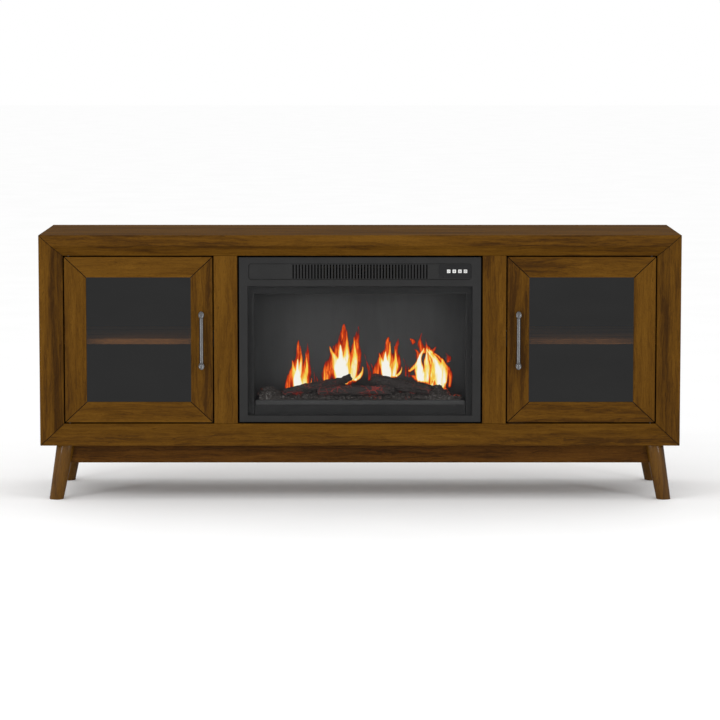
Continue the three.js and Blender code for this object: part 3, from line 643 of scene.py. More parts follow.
@dataclass(frozen=True)
class Finishes:
    """Every finish of the fireplace."""

    walnut: Wood = Wood("walnut", screen(98, 66, 18), screen(83, 54, 13), screen(57, 35, 10))
    # a darker copy of the walnut for the aprons: painted shade under the case
    dark_walnut: Wood = Wood("dark_walnut", screen(88, 56, 18), screen(72, 44, 13), screen(46, 27, 9))
    # a far paler copy of the walnut for the shelves: painted light where they sit in the case's shade behind
    # tinted glass
    shelf_walnut: Wood = Wood("walnut", screen(184, 120, 58), screen(164, 106, 50), screen(127, 80, 37))
    # near-black walnut for the mitre faces: painted shade in the grooves of the mitre joints
    joint_line: Laminate = Laminate("walnut", screen(27, 17, 8))
    # near-black board for the faces inside the case, the dividers, the floor panel and the cleats: painted
    # shade of the closed case
    inner_board: Laminate = Laminate("inner_board", screen(26, 23, 21))
    hardboard: Hardboard = Hardboard("hardboard", screen(96, 74, 50), screen(58, 42, 28))
    # the panes' colours are painted reflections, given off as glow
    tinted_glass: Glass = Glass("tinted_glass", screen(62, 62, 62), 0.36)
    clear_glass: Glass = Glass("clear_glass", screen(60, 61, 62), 0.05)
    dark_nickel: Plated = Plated("dark_nickel", screen(94, 94, 95))
    satin_black: Enamel = Enamel("satin_black", screen(38, 38, 38))
    sheet_steel: Enamel = Enamel("sheet_steel", screen(44, 44, 45), 0.6)
    # darker and paler copies of the satin black: painted shade on the tray and the recessed surround,
    # painted light on the tray's lip
    inner_black: Enamel = Enamel("satin_black", screen(34, 34, 34), 0.6)
    lip_black: Enamel = Enamel("satin_black", screen(54, 54, 54), 0.5)
    # near-black with almost no shine for the slot walls and the fins behind them: painted shade in the slots
    slot_black: Moulded = Moulded("satin_black", screen(12, 12, 12), 0.7, 0.02)
    zinc_steel: Plated = Plated("zinc_steel", screen(165, 167, 170), Grain.ACROSS)
    dull_zinc: Plated = Plated("zinc_steel", screen(52, 52, 53), Grain.ACROSS, 0.5)
    black_plastic: Moulded = Moulded("black_plastic", screen(28, 28, 28))
    key_print: Moulded = Moulded("key_print", screen(226, 226, 224), 0.35)
    display: Moulded = Moulded("satin_black", screen(32, 32, 33), 0.3, 0.12)
    charred_resin: Charred = Charred(
        "charred_resin", screen(48, 44, 43), screen(84, 79, 76), screen(190, 36, 16),
        0.6, 95.0, (0.50, 0.72),
    )
    # the embers' near-white ash is partly ash and partly painted highlight for the coals' glints
    embers: Charred = Charred(
        "charred_resin", screen(52, 48, 46), screen(176, 172, 168), screen(255, 82, 24),
        0.9, 110.0, (0.62, 0.74),
    )
    screen_grey: Screen = Screen("screen_grey", screen(61, 61, 61))
    # mica darkened far below its pale colour: painted shade behind the outlet slots
    mica: Laminate = Laminate("mica", screen(66, 60, 50))
    circuit_green: Moulded = Moulded("circuit_green", screen(31, 74, 52), 0.4)
    foil: Plated = Plated("foil", screen(205, 205, 205), Grain.ACROSS, 0.2)
    fire: Fire = Fire(
        "screen_grey",
        screen(190, 42, 14),
        screen(246, 104, 34),
        screen(255, 226, 84),
        screen(255, 253, 244),
    )
    hot_wire: HotWire = HotWire("zinc_steel", screen(120, 112, 104), screen(110, 78, 70))


# ---- Mesh tools ---------------------------------------------------------------------------------


def shown(name: str, mesh: bpy.types.Mesh) -> Piece:
    """A new object at the origin that shows a mesh."""
    piece = bpy.data.objects.new(name, mesh)
    bpy.context.scene.collection.objects.link(piece)
    return piece


def settled(piece: Piece) -> Piece:
    """Turns a piece's modifiers into its plain mesh.

    Args:
        piece: the piece.

    Returns:
        The same piece, with no modifiers left.
    """
    bpy.context.view_layer.update()
    view = bpy.context.evaluated_depsgraph_get()
    mesh = bpy.data.meshes.new_from_object(
        piece.evaluated_get(view), preserve_all_data_layers=True, depsgraph=view
    )
    piece.modifiers.clear()
    spent = piece.data
    piece.data = mesh
    bpy.data.meshes.remove(spent)
    return piece


def polish(piece: Piece, sharp: float = 40.0) -> Piece:
    """Shades a piece smooth, except over edges sharper than the given degrees."""
    piece.data.shade_smooth()
    piece.data.set_sharp_from_angle(angle=math.radians(sharp))
    return piece


def eased(piece: Piece, width: float, steps: int = 2) -> Piece:
    """Rounds a piece's sharp edges.

    Args:
        piece: the piece.
        width: how wide the rounding is, in metres.
        steps: how many faces it takes.

    Returns:
        The same piece.
    """
    piece.data.shade_smooth()
    bevel = piece.modifiers.new("ease", "BEVEL")
    bevel.width = width
    bevel.segments = steps
    bevel.limit_method = "ANGLE"
    bevel.angle_limit = math.radians(32)
    bevel.use_clamp_overlap = True
    shading = piece.modifiers.new("shading", "WEIGHTED_NORMAL")
    shading.keep_sharp = True
    return settled(piece)


def cad_copy(node: str) -> Piece:
    """Copies a CAD node as a clean closed mesh, its loose triangles merged and its flat faces whole.

    Args:
        node: the CAD node.

    Returns:
        The copy, named after the node with fine_ before it.
    """
    shape = bmesh.new()
    shape.from_mesh(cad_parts[node].data)
    bmesh.ops.remove_doubles(shape, verts=shape.verts, dist=1e-6)
    bmesh.ops.dissolve_limit(shape, angle_limit=math.radians(0.5), verts=shape.verts, edges=shape.edges)
    mesh = bpy.data.meshes.new(f"fine_{node}")
    shape.to_mesh(mesh)
    shape.free()
    return shown(mesh.name, mesh)


def solid(name: str, points: Sequence[Point], faces: Sequence[Sequence[int]]) -> Piece:
    """Makes a closed piece and turns its faces outwards.

    Args:
        name: the piece's name.
        points: its points, in metres.
        faces: its faces, as the points' numbers.

    Returns:
        The piece.
    """
    mesh = bpy.data.meshes.new(name)
    mesh.from_pydata([tuple(p) for p in points], [], [tuple(f) for f in faces])
    shape = bmesh.new()
    shape.from_mesh(mesh)
    bmesh.ops.recalc_face_normals(shape, faces=shape.faces)
    shape.to_mesh(mesh)
    shape.free()
    return shown(name, mesh)


def stacked(name: str, rings: Sequence[Sequence[Point]], hollow: bool = False) -> Piece:
    """Joins rings of points, one after the other.

    Args:
        name: the piece's name.
        rings: the rings, with as many points each.
        hollow: whether the last ring joins the first, and not each its own flat end.

    Returns:
        The closed piece.
    """
    count = len(rings[0])
    points = [p for ring in rings for p in ring]
    ends = [list(range(count)), [len(points) - 1 - i for i in range(count)]]
    faces: list[list[int]] = [] if hollow else ends
    for row in range(len(rings) if hollow else len(rings) - 1):
        first, after = row * count, (row + 1) % len(rings) * count
        for i in range(count):
            j = (i + 1) % count
            faces.append([first + i, first + j, after + j, after + i])
    return solid(name, points, faces)


def turned(
    name: str, profile: Sequence[tuple[float, float]], base: Point, axis: str, sides: int = 48,
    stretch: float = 1.0, hollow: bool = False,
) -> Piece:
    """Turns a profile round an axis.

    Args:
        name: the piece's name.
        profile: pairs of a radius and a distance along the axis.
        base: where the axis starts.
        axis: "x", "y" or "z".
        sides: how many sides the round has.
        stretch: how much longer the round is along Z than across, for an axis that isn't Z.
        hollow: whether the profile runs back to its start, round an open middle.

    Returns:
        The piece.
    """
    rings = []
    for radius, along in profile:
        ring = []
        for angle in circle(sides):
            first, second = radius * math.cos(angle), radius * math.sin(angle)
            offset = {
                "x": Vector((along, first, second * stretch)),
                "y": Vector((first, along, second * stretch)),
                "z": Vector((first, second, along)),
            }[axis]
            ring.append(Vector(base) + offset)
        rings.append(ring)
    return stacked(name, rings, hollow)


def combined(piece: Piece, other: Piece, operation: str) -> Piece:
    """Joins or cuts a piece with another, which is used up.

    Args:
        piece: the piece.
        other: the solid that is added or taken away.
        operation: "UNION" or "DIFFERENCE".

    Returns:
        The first piece.
    """
    step = piece.modifiers.new("shape", "BOOLEAN")
    step.operation = operation
    step.object = other
    step.solver = "EXACT"
    settled(piece)
    bpy.data.objects.remove(other)
    return piece


def one_piece(name: str, parts: Sequence[Piece]) -> Piece:
    """Gathers loose parts in one object.

    Args:
        name: the new piece's name.
        parts: the parts, which are used up.

    Returns:
        The piece.
    """
    mesh = bpy.data.meshes.new(name)
    shape = bmesh.new()
    for part in parts:
        shape.from_mesh(part.data)
        bpy.data.objects.remove(part)
    shape.to_mesh(mesh)
    shape.free()
    return shown(name, mesh)


def faced(piece: Piece, finish: Finish, chosen: Callable[[bpy.types.MeshPolygon], bool]) -> None:
    """Gives some of a piece's faces a finish of their own.

    Args:
        piece: the piece.
        finish: the faces' finish.
        chosen: says whether a face gets it.
    """
    materials = piece.data.materials
    materials.append(finish.material(piece.name))
    for face in piece.data.polygons:
        if chosen(face):
            face.material_index = len(materials) - 1


def on_mitre(face: bpy.types.MeshPolygon) -> bool:
    """Whether a face lies in a mitre joint, which runs aslant between X and Z; such faces get painted shade.
    """
    return abs(face.normal.x) > 0.15 and abs(face.normal.z) > 0.15


def span(node: str) -> tuple[Vector, Vector, Vector, Vector]:
    """A node's lowest corner, highest corner, middle and size."""
    low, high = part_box(node)
    return low, high, (low + high) / 2, high - low


def border(low: Vector, high: Vector, inset: float, across: int, upright: int) -> list[Point]:
    """Even places round the back face of a panel.

    Args:
        low: the panel's lowest corner.
        high: its highest corner.
        inset: how far the places stand in from its edges.
        across: how many steps there are along the level edges.
        upright: how many there are along the upright edges.

    Returns:
        The places.
    """
    left, right = low.x + inset, high.x - inset
    bottom, top = low.z + inset, high.z - inset
    places = []
    for i in range(across + 1):
        x = left + (right - left) * i / across
        places += [(x, high.y, bottom), (x, high.y, top)]
    for i in range(1, upright):
        z = bottom + (top - bottom) * i / upright
        places += [(left, high.y, z), (right, high.y, z)]
    return places


# ---- Geometry Nodes -----------------------------------------------------------------------------


class Kind(Enum):
    """The kinds of input that a geometry tree takes."""

    LENGTH = "NodeSocketFloat"
    COUNT = "NodeSocketInt"
    PLACE = "NodeSocketVector"
    MATERIAL = "NodeSocketMaterial"
    SHAPE = "NodeSocketGeometry"


class Pattern(Graph):
    """A geometry tree that makes what repeats. It ends in real, painted geometry."""

    def __init__(self, name: str, **inputs: Kind) -> None:
        """Makes the tree with its named inputs.

        Args:
            name: the tree's name.
            inputs: the kinds of its sizes, by their names.
        """
        group = bpy.data.node_groups.new(name, "GeometryNodeTree")
        super().__init__(group)
        kinds = {"Geometry": Kind.SHAPE, **inputs, "Material": Kind.MATERIAL}
        for label, kind in kinds.items():
            group.interface.new_socket(label, in_out="INPUT", socket_type=kind.value)
        group.interface.new_socket("Geometry", in_out="OUTPUT", socket_type=Kind.SHAPE.value)
        self.given = self.add("NodeGroupInput").outputs

    def vector(self, x: object, y: object, z: object) -> Socket:
        """A vector of three values."""
        return self.out("ShaderNodeCombineXYZ", {0: x, 1: y, 2: z})

    def line(self, count: object, start: object, step: object) -> Socket:
        """Points in a row."""
        values = {"Count": count, "Start Location": start, "Offset": step}
        return self.out("GeometryNodeMeshLine", values)

    def round(self, sides: object, radius: object, depth: object) -> Socket:
        """A round bar along Z."""
        values = {"Vertices": sides, "Radius": radius, "Depth": depth}
        return self.out("GeometryNodeMeshCylinder", values)

    def chance(self, low: Point, high: Point) -> Socket:
        """A random vector from low to high, by the tree's Seed."""
        values = {"Min": low, "Max": high, "Seed": self.given["Seed"]}
        return self.out("FunctionNodeRandomValue", values, data_type="FLOAT_VECTOR")

    def copies(self, points: Socket, shape: Socket, **more: object) -> Socket:
        """A shape on each of some points, with a Rotation or a Scale."""
        return self.out("GeometryNodeInstanceOnPoints", {"Points": points, "Instance": shape, **more})

    def joined(self, *shapes: Socket) -> Socket:
        """Several shapes as one."""
        node = self.add("GeometryNodeJoinGeometry")
        for shape in shapes:
            self.tree.links.new(shape, node.inputs[0])
        return node.outputs[0]

    def done(self, shape: Socket, smooth: bool = False) -> "Pattern":
        """Ends the tree.

        Args:
            shape: what it makes.
            smooth: whether its faces are shaded smooth.

        Returns:
            The tree itself.
        """
        real = self.out("GeometryNodeRealizeInstances", {0: shape})
        shaded = self.out("GeometryNodeSetShadeSmooth", {"Geometry": real, "Shade Smooth": smooth})
        values = {"Geometry": shaded, "Material": self.given["Material"]}
        self.add("NodeGroupOutput", {"Geometry": self.out("GeometryNodeSetMaterial", values)})
        return self

    def grown(self, name: str, finish: Finish, seed: bpy.types.Mesh | None, **sizes: object) -> Piece:
        """Makes a piece with the tree.

        Args:
            name: the piece's name.
            finish: its finish.
            seed: the mesh that the tree starts from, or None for an empty one.
            sizes: the tree's inputs.

        Returns:
            The piece as a plain mesh.
        """
        piece = shown(name, seed or bpy.data.meshes.new(name))
        maker = piece.modifiers.new("maker", "NODES")
        maker.node_group = self.tree
        values = {**sizes, "Material": finish.material(name)}
        for item in self.tree.interface.items_tree:
            if item.item_type == "SOCKET" and item.in_out == "INPUT" and item.name in values:
                maker[item.identifier] = values.pop(item.name)
        if values:
            raise KeyError(f"{self.tree.name} has no input named {sorted(values)}")
        return settled(piece)


def row_pattern() -> Pattern:
    """Blocks in a row: fins, chips or lamps.

    Returns:
        A tree with Count, Step, Start, Size and Tilt.
    """
    tree = Pattern("row", Count=Kind.COUNT, Step=Kind.PLACE, Start=Kind.PLACE, Size=Kind.PLACE,
                   Tilt=Kind.PLACE)
    given = tree.given
    line = tree.line(given["Count"], given["Start"], given["Step"])
    block = tree.out("GeometryNodeMeshCube", {"Size": given["Size"]})
    return tree.done(tree.copies(line, block, Rotation=given["Tilt"]))


def head_pattern() -> Pattern:
    """Flanged screw or nail heads on the points of a mesh, each turned by chance.

    Returns:
        A tree with Radius, Height, Sides, Turn and Seed.
    """
    tree = Pattern("heads", Radius=Kind.LENGTH, Height=Kind.LENGTH, Sides=Kind.COUNT, Turn=Kind.PLACE,
                   Seed=Kind.COUNT)
    given = tree.given

    def cone(sides: object, depth: object, bottom: float, top: float) -> Socket:
        """A cone's slice, with its radii as shares of the head's."""
        low, high = (tree.sum("MULTIPLY", given["Radius"], share) for share in (bottom, top))
        values = {"Vertices": sides, "Depth": depth, "Radius Bottom": low, "Radius Top": high}
        return tree.out("GeometryNodeMeshCone", values)

    flange = cone(20, tree.sum("MULTIPLY", given["Height"], 0.5), 1.0, 0.86)
    crown = cone(given["Sides"], given["Height"], 0.7, 0.6)
    turn = {"Rotation": tree.chance((0, 0, 0), (0, 0, 3.1)), "Rotate By": given["Turn"]}
    aimed = tree.out("FunctionNodeRotateEuler", turn, space="OBJECT")
    return tree.done(tree.copies(given["Geometry"], tree.joined(flange, crown), Rotation=aimed))


def coil_pattern() -> Pattern:
    """Coils of wire side by side.

    Returns:
        A tree with Count, Step, Start, Turns, Radius, Length and Wire.
    """
    tree = Pattern("coils", Count=Kind.COUNT, Step=Kind.PLACE, Start=Kind.PLACE, Turns=Kind.LENGTH,
                   Radius=Kind.LENGTH, Length=Kind.LENGTH, Wire=Kind.LENGTH)
    given = tree.given
    path = tree.out("GeometryNodeCurveSpiral", {
        "Resolution": 10, "Rotations": given["Turns"], "Start Radius": given["Radius"],
        "End Radius": given["Radius"], "Height": given["Length"],
    })
    section = tree.out("GeometryNodeCurvePrimitiveCircle", {"Resolution": 6, "Radius": given["Wire"]})
    swept = {"Curve": path, "Profile Curve": section, "Fill Caps": True}
    wire = tree.out("GeometryNodeCurveToMesh", swept)
    line = tree.line(given["Count"], given["Start"], given["Step"])
    return tree.done(tree.copies(line, wire), smooth=True)


def rotor_pattern() -> Pattern:
    """Blades round a shaft along X, held by discs.

    Returns:
        A tree with Middle, Blades, Radius, Length, Depth, Thickness, Pitch, Shaft, Axle and Discs.
    """
    lengths = dict.fromkeys(("Radius", "Length", "Depth", "Thickness", "Shaft", "Axle"), Kind.LENGTH)
    tree = Pattern("rotor", Middle=Kind.PLACE, Pitch=Kind.PLACE, Blades=Kind.COUNT, Discs=Kind.COUNT,
                   **lengths)
    given = tree.given
    blade_middle = tree.sum("SUBTRACT", given["Radius"], tree.sum("MULTIPLY", given["Depth"], 0.5))
    ring = tree.out("GeometryNodeMeshCircle", {"Vertices": given["Blades"], "Radius": blade_middle})
    size = tree.vector(given["Depth"], given["Thickness"], given["Length"])
    blade = tree.out("GeometryNodeMeshCube", {"Size": size})
    pitched = tree.out("GeometryNodeTransform", {"Geometry": blade, "Rotation": given["Pitch"]})
    spot = {"Vector": tree.out("GeometryNodeInputPosition")}
    outward = tree.out("FunctionNodeAlignEulerToVector", spot, axis="X", pivot_axis="Z")
    blades = tree.copies(ring, pitched, Rotation=outward)
    gaps = tree.sum("MAXIMUM", tree.sum("SUBTRACT", given["Discs"], 1), 1)
    reach = tree.sum("SUBTRACT", given["Length"], given["Thickness"])
    first = tree.vector(0, 0, tree.sum("MULTIPLY", reach, -0.5))
    line = tree.line(given["Discs"], first, tree.vector(0, 0, tree.sum("DIVIDE", reach, gaps)))
    discs = tree.copies(line, tree.round(40, blade_middle, given["Thickness"]))
    rotor = tree.joined(blades, discs, tree.round(24, given["Shaft"], given["Axle"]))
    laid = {"Geometry": rotor, "Translation": given["Middle"], "Rotation": (0, QUARTER, 0)}
    return tree.done(tree.out("GeometryNodeTransform", laid))


def lump_pattern() -> Pattern:
    """Rough lumps scattered over a surface.

    Returns:
        A tree with Spacing, Smallest, Largest, Roughness and Seed.
    """
    lengths = dict.fromkeys(("Spacing", "Smallest", "Largest", "Roughness"), Kind.LENGTH)
    tree = Pattern("lumps", Seed=Kind.COUNT, **lengths)
    given = tree.given
    scatter = {"Mesh": given["Geometry"], "Distance Min": given["Spacing"], "Density Max": 60000.0,
               "Seed": given["Seed"]}
    points = tree.out("GeometryNodeDistributePointsOnFaces", scatter, distribute_method="POISSON")
    lump = tree.out("GeometryNodeMeshIcoSphere", {"Radius": 1.0, "Subdivisions": 2})
    sizes = {2: given["Smallest"], 3: given["Largest"], "Seed": given["Seed"]}
    size = tree.out("FunctionNodeRandomValue", sizes, output=1, data_type="FLOAT")
    squash = tree.chance((0.75, 0.7, 0.5), (1.35, 1.1, 0.85))
    turn = tree.chance((-0.6, -0.6, 0), (0.6, 0.6, 6.28))
    lumps = tree.copies(points, lump, Rotation=turn, Scale=tree.vectors("SCALE", squash, Scale=size))
    placed = tree.out("GeometryNodeRealizeInstances", {0: lumps})
    grit = tree.out("ShaderNodeTexNoise", {"Scale": 190.0, "Detail": 3.0}, output="Color")
    centred = tree.vectors("SUBTRACT", grit, (0.5, 0.5, 0.5))
    push = tree.vectors("SCALE", centred, Scale=given["Roughness"])
    return tree.done(tree.out("GeometryNodeSetPosition", {"Geometry": placed, "Offset": push}))


@dataclass
class Patterns:
    """The geometry trees, made once."""

    row: Pattern = field(default_factory=row_pattern)
    heads: Pattern = field(default_factory=head_pattern)
    coils: Pattern = field(default_factory=coil_pattern)
    rotor: Pattern = field(default_factory=rotor_pattern)
    lumps: Pattern = field(default_factory=lump_pattern)


@dataclass
class Assembly:
    """A part of the fireplace: what dresses its pieces, and the body that they ride on."""

    finishes: Finishes
    patterns: Patterns
    body: str = field(default="console", kw_only=True)

    def dress(self, piece: Piece, finish: Finish, *nodes: str, body: str = "") -> Piece:
        """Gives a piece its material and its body.

        Args:
            piece: the piece.
            finish: its finish.
            nodes: the CAD nodes that it stands for.
            body: the CAD body that it moves with, if it isn't the assembly's.

        Returns:
            The piece.
        """
        piece.data.materials.clear()
        piece.data.materials.append(finish.material(piece.name))
        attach(piece, body or self.body)
        if nodes:
            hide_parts(*nodes)
        return piece

    def remake(self, node: str, finish: Finish, ease: float, steps: int = 2, body: str = "") -> Piece:
        """Makes a CAD node again with its edges eased.

        Args:
            node: the CAD node.
            finish: its finish.
            ease: how wide the rounding is, in metres.
            steps: how many faces it takes.
            body: the CAD body that it moves with, if it isn't the assembly's.

        Returns:
            The piece.
        """
        return self.dress(eased(cad_copy(node), ease, steps), finish, node, body=body)

    def heads(self, name: str, places: Sequence[Point], turn: Point, **sizes: object) -> None:
        """Adds zinc screw or nail heads.

        Args:
            name: the piece's name.
            places: where they stand.
            turn: the turn from upwards to the way that they face.
            sizes: their Radius, Height, Sides and Seed.
        """
        mesh = bpy.data.meshes.new(f"{name}_places")
        mesh.from_pydata(places, [], [])
        zinc = self.finishes.zinc_steel
        self.dress(self.patterns.heads.grown(name, zinc, mesh, Turn=turn, **sizes), zinc)


# ---- Case, base and cabinets --------------------------------------------------------------------


@dataclass
class Console(Assembly):
    """The case: four mitred boards, the dividers, the back and the panel under the insert."""

    ease: float = 0.9 * MM
    panel_ease: float = 0.5 * MM
    board: float = 22 * MM
    nosing: float = 50 * MM
    nail_inset: float = 9 * MM
    nail_step: float = 95 * MM

    def build(self) -> None:
        """Makes every piece of the case."""
        walnut, shaded_lining = self.finishes.walnut, self.finishes.inner_board
        for place in ("top", "bottom", "left_side", "right_side"):
            self.lined_board(f"case_{place}", Grain.UPRIGHT if "side" in place else Grain.ACROSS)
        for side in SIDES:
            self.remake(f"{side}_mid_stile", walnut.along(Grain.UPRIGHT), self.ease)
            self.remake(f"{side}_partition", shaded_lining, self.panel_ease)
        self.remake("insert_floor_panel", shaded_lining, self.panel_ease)
        panel = self.remake("back_panel", self.finishes.hardboard, self.panel_ease, 1)
        # the back panel's front face gets the painted shade of the inside
        faced(panel, shaded_lining, lambda face: face.normal.y < -0.9)
        self.nails()
        log.info("case: boards, dividers, floor panel and back")

    def lined_board(self, node: str, grain: Grain) -> None:
        """A case board in walnut whose inner faces, behind the nosing, are painted dark as shade inside the
        case.

        Args:
            node: the CAD board.
            grain: the way its grain runs.
        """
        low, high = cad_box
        piece = self.remake(node, self.finishes.walnut.along(grain), self.ease)

        def inside(face: bpy.types.MeshPolygon) -> bool:
            """Whether a face looks into the case from behind the nosing."""
            inward = {
                "case_top": face.normal.z < -0.9 and face.center.z < high[2] - self.board / 2,
                "case_bottom": face.normal.z > 0.9,
                "case_left_side": face.normal.x > 0.9,
                "case_right_side": face.normal.x < -0.9,
            }[node]
            return inward and face.center.y > low[1] + self.nosing + self.ease

        # faces that look into the case are painted near-black as shade
        faced(piece, self.finishes.inner_board, inside)
        # the mitre faces are painted near-black as shade in the joints
        faced(piece, self.finishes.joint_line, on_mitre)

    def nails(self) -> None:
        """The nails that hold the back panel."""
        low, high, _, size = span("back_panel")
        across = round((size.x - 2 * self.nail_inset) / self.nail_step)
        upright = round((size.z - 2 * self.nail_inset) / self.nail_step)
        places = border(low, high, self.nail_inset, across, upright)
        backwards = (-QUARTER, 0, 0)
        self.heads("back_panel_nails", places, backwards, Radius=2.6 * MM, Height=0.7 * MM, Sides=20, Seed=4)


@dataclass
class Base(Assembly):
    """Four turned legs on a frame of aprons."""

    splay: float = math.radians(10)
    top_radius: float = 25.5 * MM
    foot_radius: float = 20 * MM
    round_over: float = 1.6 * MM
    apron_ease: float = 1.0 * MM
    sides: int = 72
    slices: int = 6

    def build(self) -> None:
        """Makes the legs and the aprons."""
        for end in ("front", "back"):
            for side in SIDES:
                self.leg(f"leg_{end}_{side}", 1 if side == "right" else -1)
        for place in ("front", "back", *SIDES):
            grain = Grain.DEEP if place in SIDES else Grain.ACROSS
            # the aprons get the darker walnut as painted shade under the case
            self.remake(f"apron_{place}", self.finishes.dark_walnut.along(grain), self.apron_ease)
        log.info("base: four turned legs and four aprons")

    def leg(self, node: str, side: int) -> None:
        """A leg as level slices of its splayed taper, rounded over at the foot.

        Args:
            node: the CAD leg.
            side: -1 on the left, 1 on the right.
        """
        low, high, middle, size = span(node)
        widened = 1 / math.cos(self.splay)
        outer = high.x if side > 0 else low.x
        foot_x = outer - side * self.foot_radius * widened
        edge = self.round_over
        levels = [(edge * h, -edge * (1 - math.sqrt(1 - (1 - h) ** 2))) for h in (0.0, 0.25, 0.6, 1.0)]
        straight = size.z - 2 * edge
        levels += [(edge + straight * i / self.slices, 0.0) for i in range(1, self.slices + 1)]
        levels.append((size.z, -edge * 0.4))
        rings = []
        for height, trim in levels:
            radius = self.foot_radius + (self.top_radius - self.foot_radius) * height / size.z + trim
            centre = Vector((foot_x - side * height * math.tan(self.splay), middle.y, low.z + height))
            rings.append([
                centre + Vector((radius * widened * math.cos(a), radius * math.sin(a), 0))
                for a in circle(self.sides)
            ])
        turned_wood = replace(self.finishes.walnut, grain=Grain.UPRIGHT, lacquer=0.3, haze=0.2)
        self.dress(polish(stacked(f"fine_{node}", rings), 50), turned_wood, node)


@dataclass
class Cabinet(Assembly):
    """One cabinet behind a door: its shelf, the cleats, the catch and the pivots."""

    side: str
    shelf_ease: float = 1.2 * MM
    small_ease: float = 0.8 * MM
    pin_ease: float = 0.5 * MM

    def build(self) -> None:
        """Makes the cabinet's pieces."""
        # the shelf's paler walnut is painted light
        self.remake(f"{self.side}_shelf", self.finishes.shelf_walnut, self.shelf_ease, 3)
        for place in ("inner", "outer"):
            self.cleat(f"{self.side}_shelf_{place}_cleat")
        self.remake(f"{self.side}_door_catch", self.finishes.dull_zinc, self.small_ease)
        for place in ("upper", "lower"):
            self.pivot(f"{self.side}_door_{place}_pivot")
        log.info("%s cabinet: shelf, cleats, catch and pivots", self.side)

    def cleat(self, node: str) -> None:
        """A cleat with three hexagonal screws through its open face.

        Args:
            node: the CAD cleat.
        """
        # the cleat gets the painted shade of the inside of the case
        self.remake(node, self.finishes.inner_board, self.small_ease)
        low, high, middle, size = span(node)
        facing = 1 if span(f"{self.side}_shelf")[2].x > middle.x else -1
        face = high.x if facing > 0 else low.x
        places = [(face, low.y + size.y * share, middle.z) for share in (0.12, 0.5, 0.88)]
        turn = (0, facing * QUARTER, 0)
        self.heads(f"{node}_screws", places, turn, Radius=3.2 * MM, Height=1.2 * MM, Sides=6, Seed=7)

    def pivot(self, node: str) -> None:
        """A pivot pin with eased ends.

        Args:
            node: the CAD pin.
        """
        low, _, middle, size = span(node)
        radius, ease = size.x / 2, self.pin_ease
        profile = [(radius - ease, 0), (radius, ease), (radius, size.z - ease), (radius - ease, size.z)]
        pin = turned(f"fine_{node}", profile, (middle.x, middle.y, low.z), "z", 32)
        self.dress(polish(pin), self.finishes.dull_zinc, node)


# ---- Doors --------------------------------------------------------------------------------------


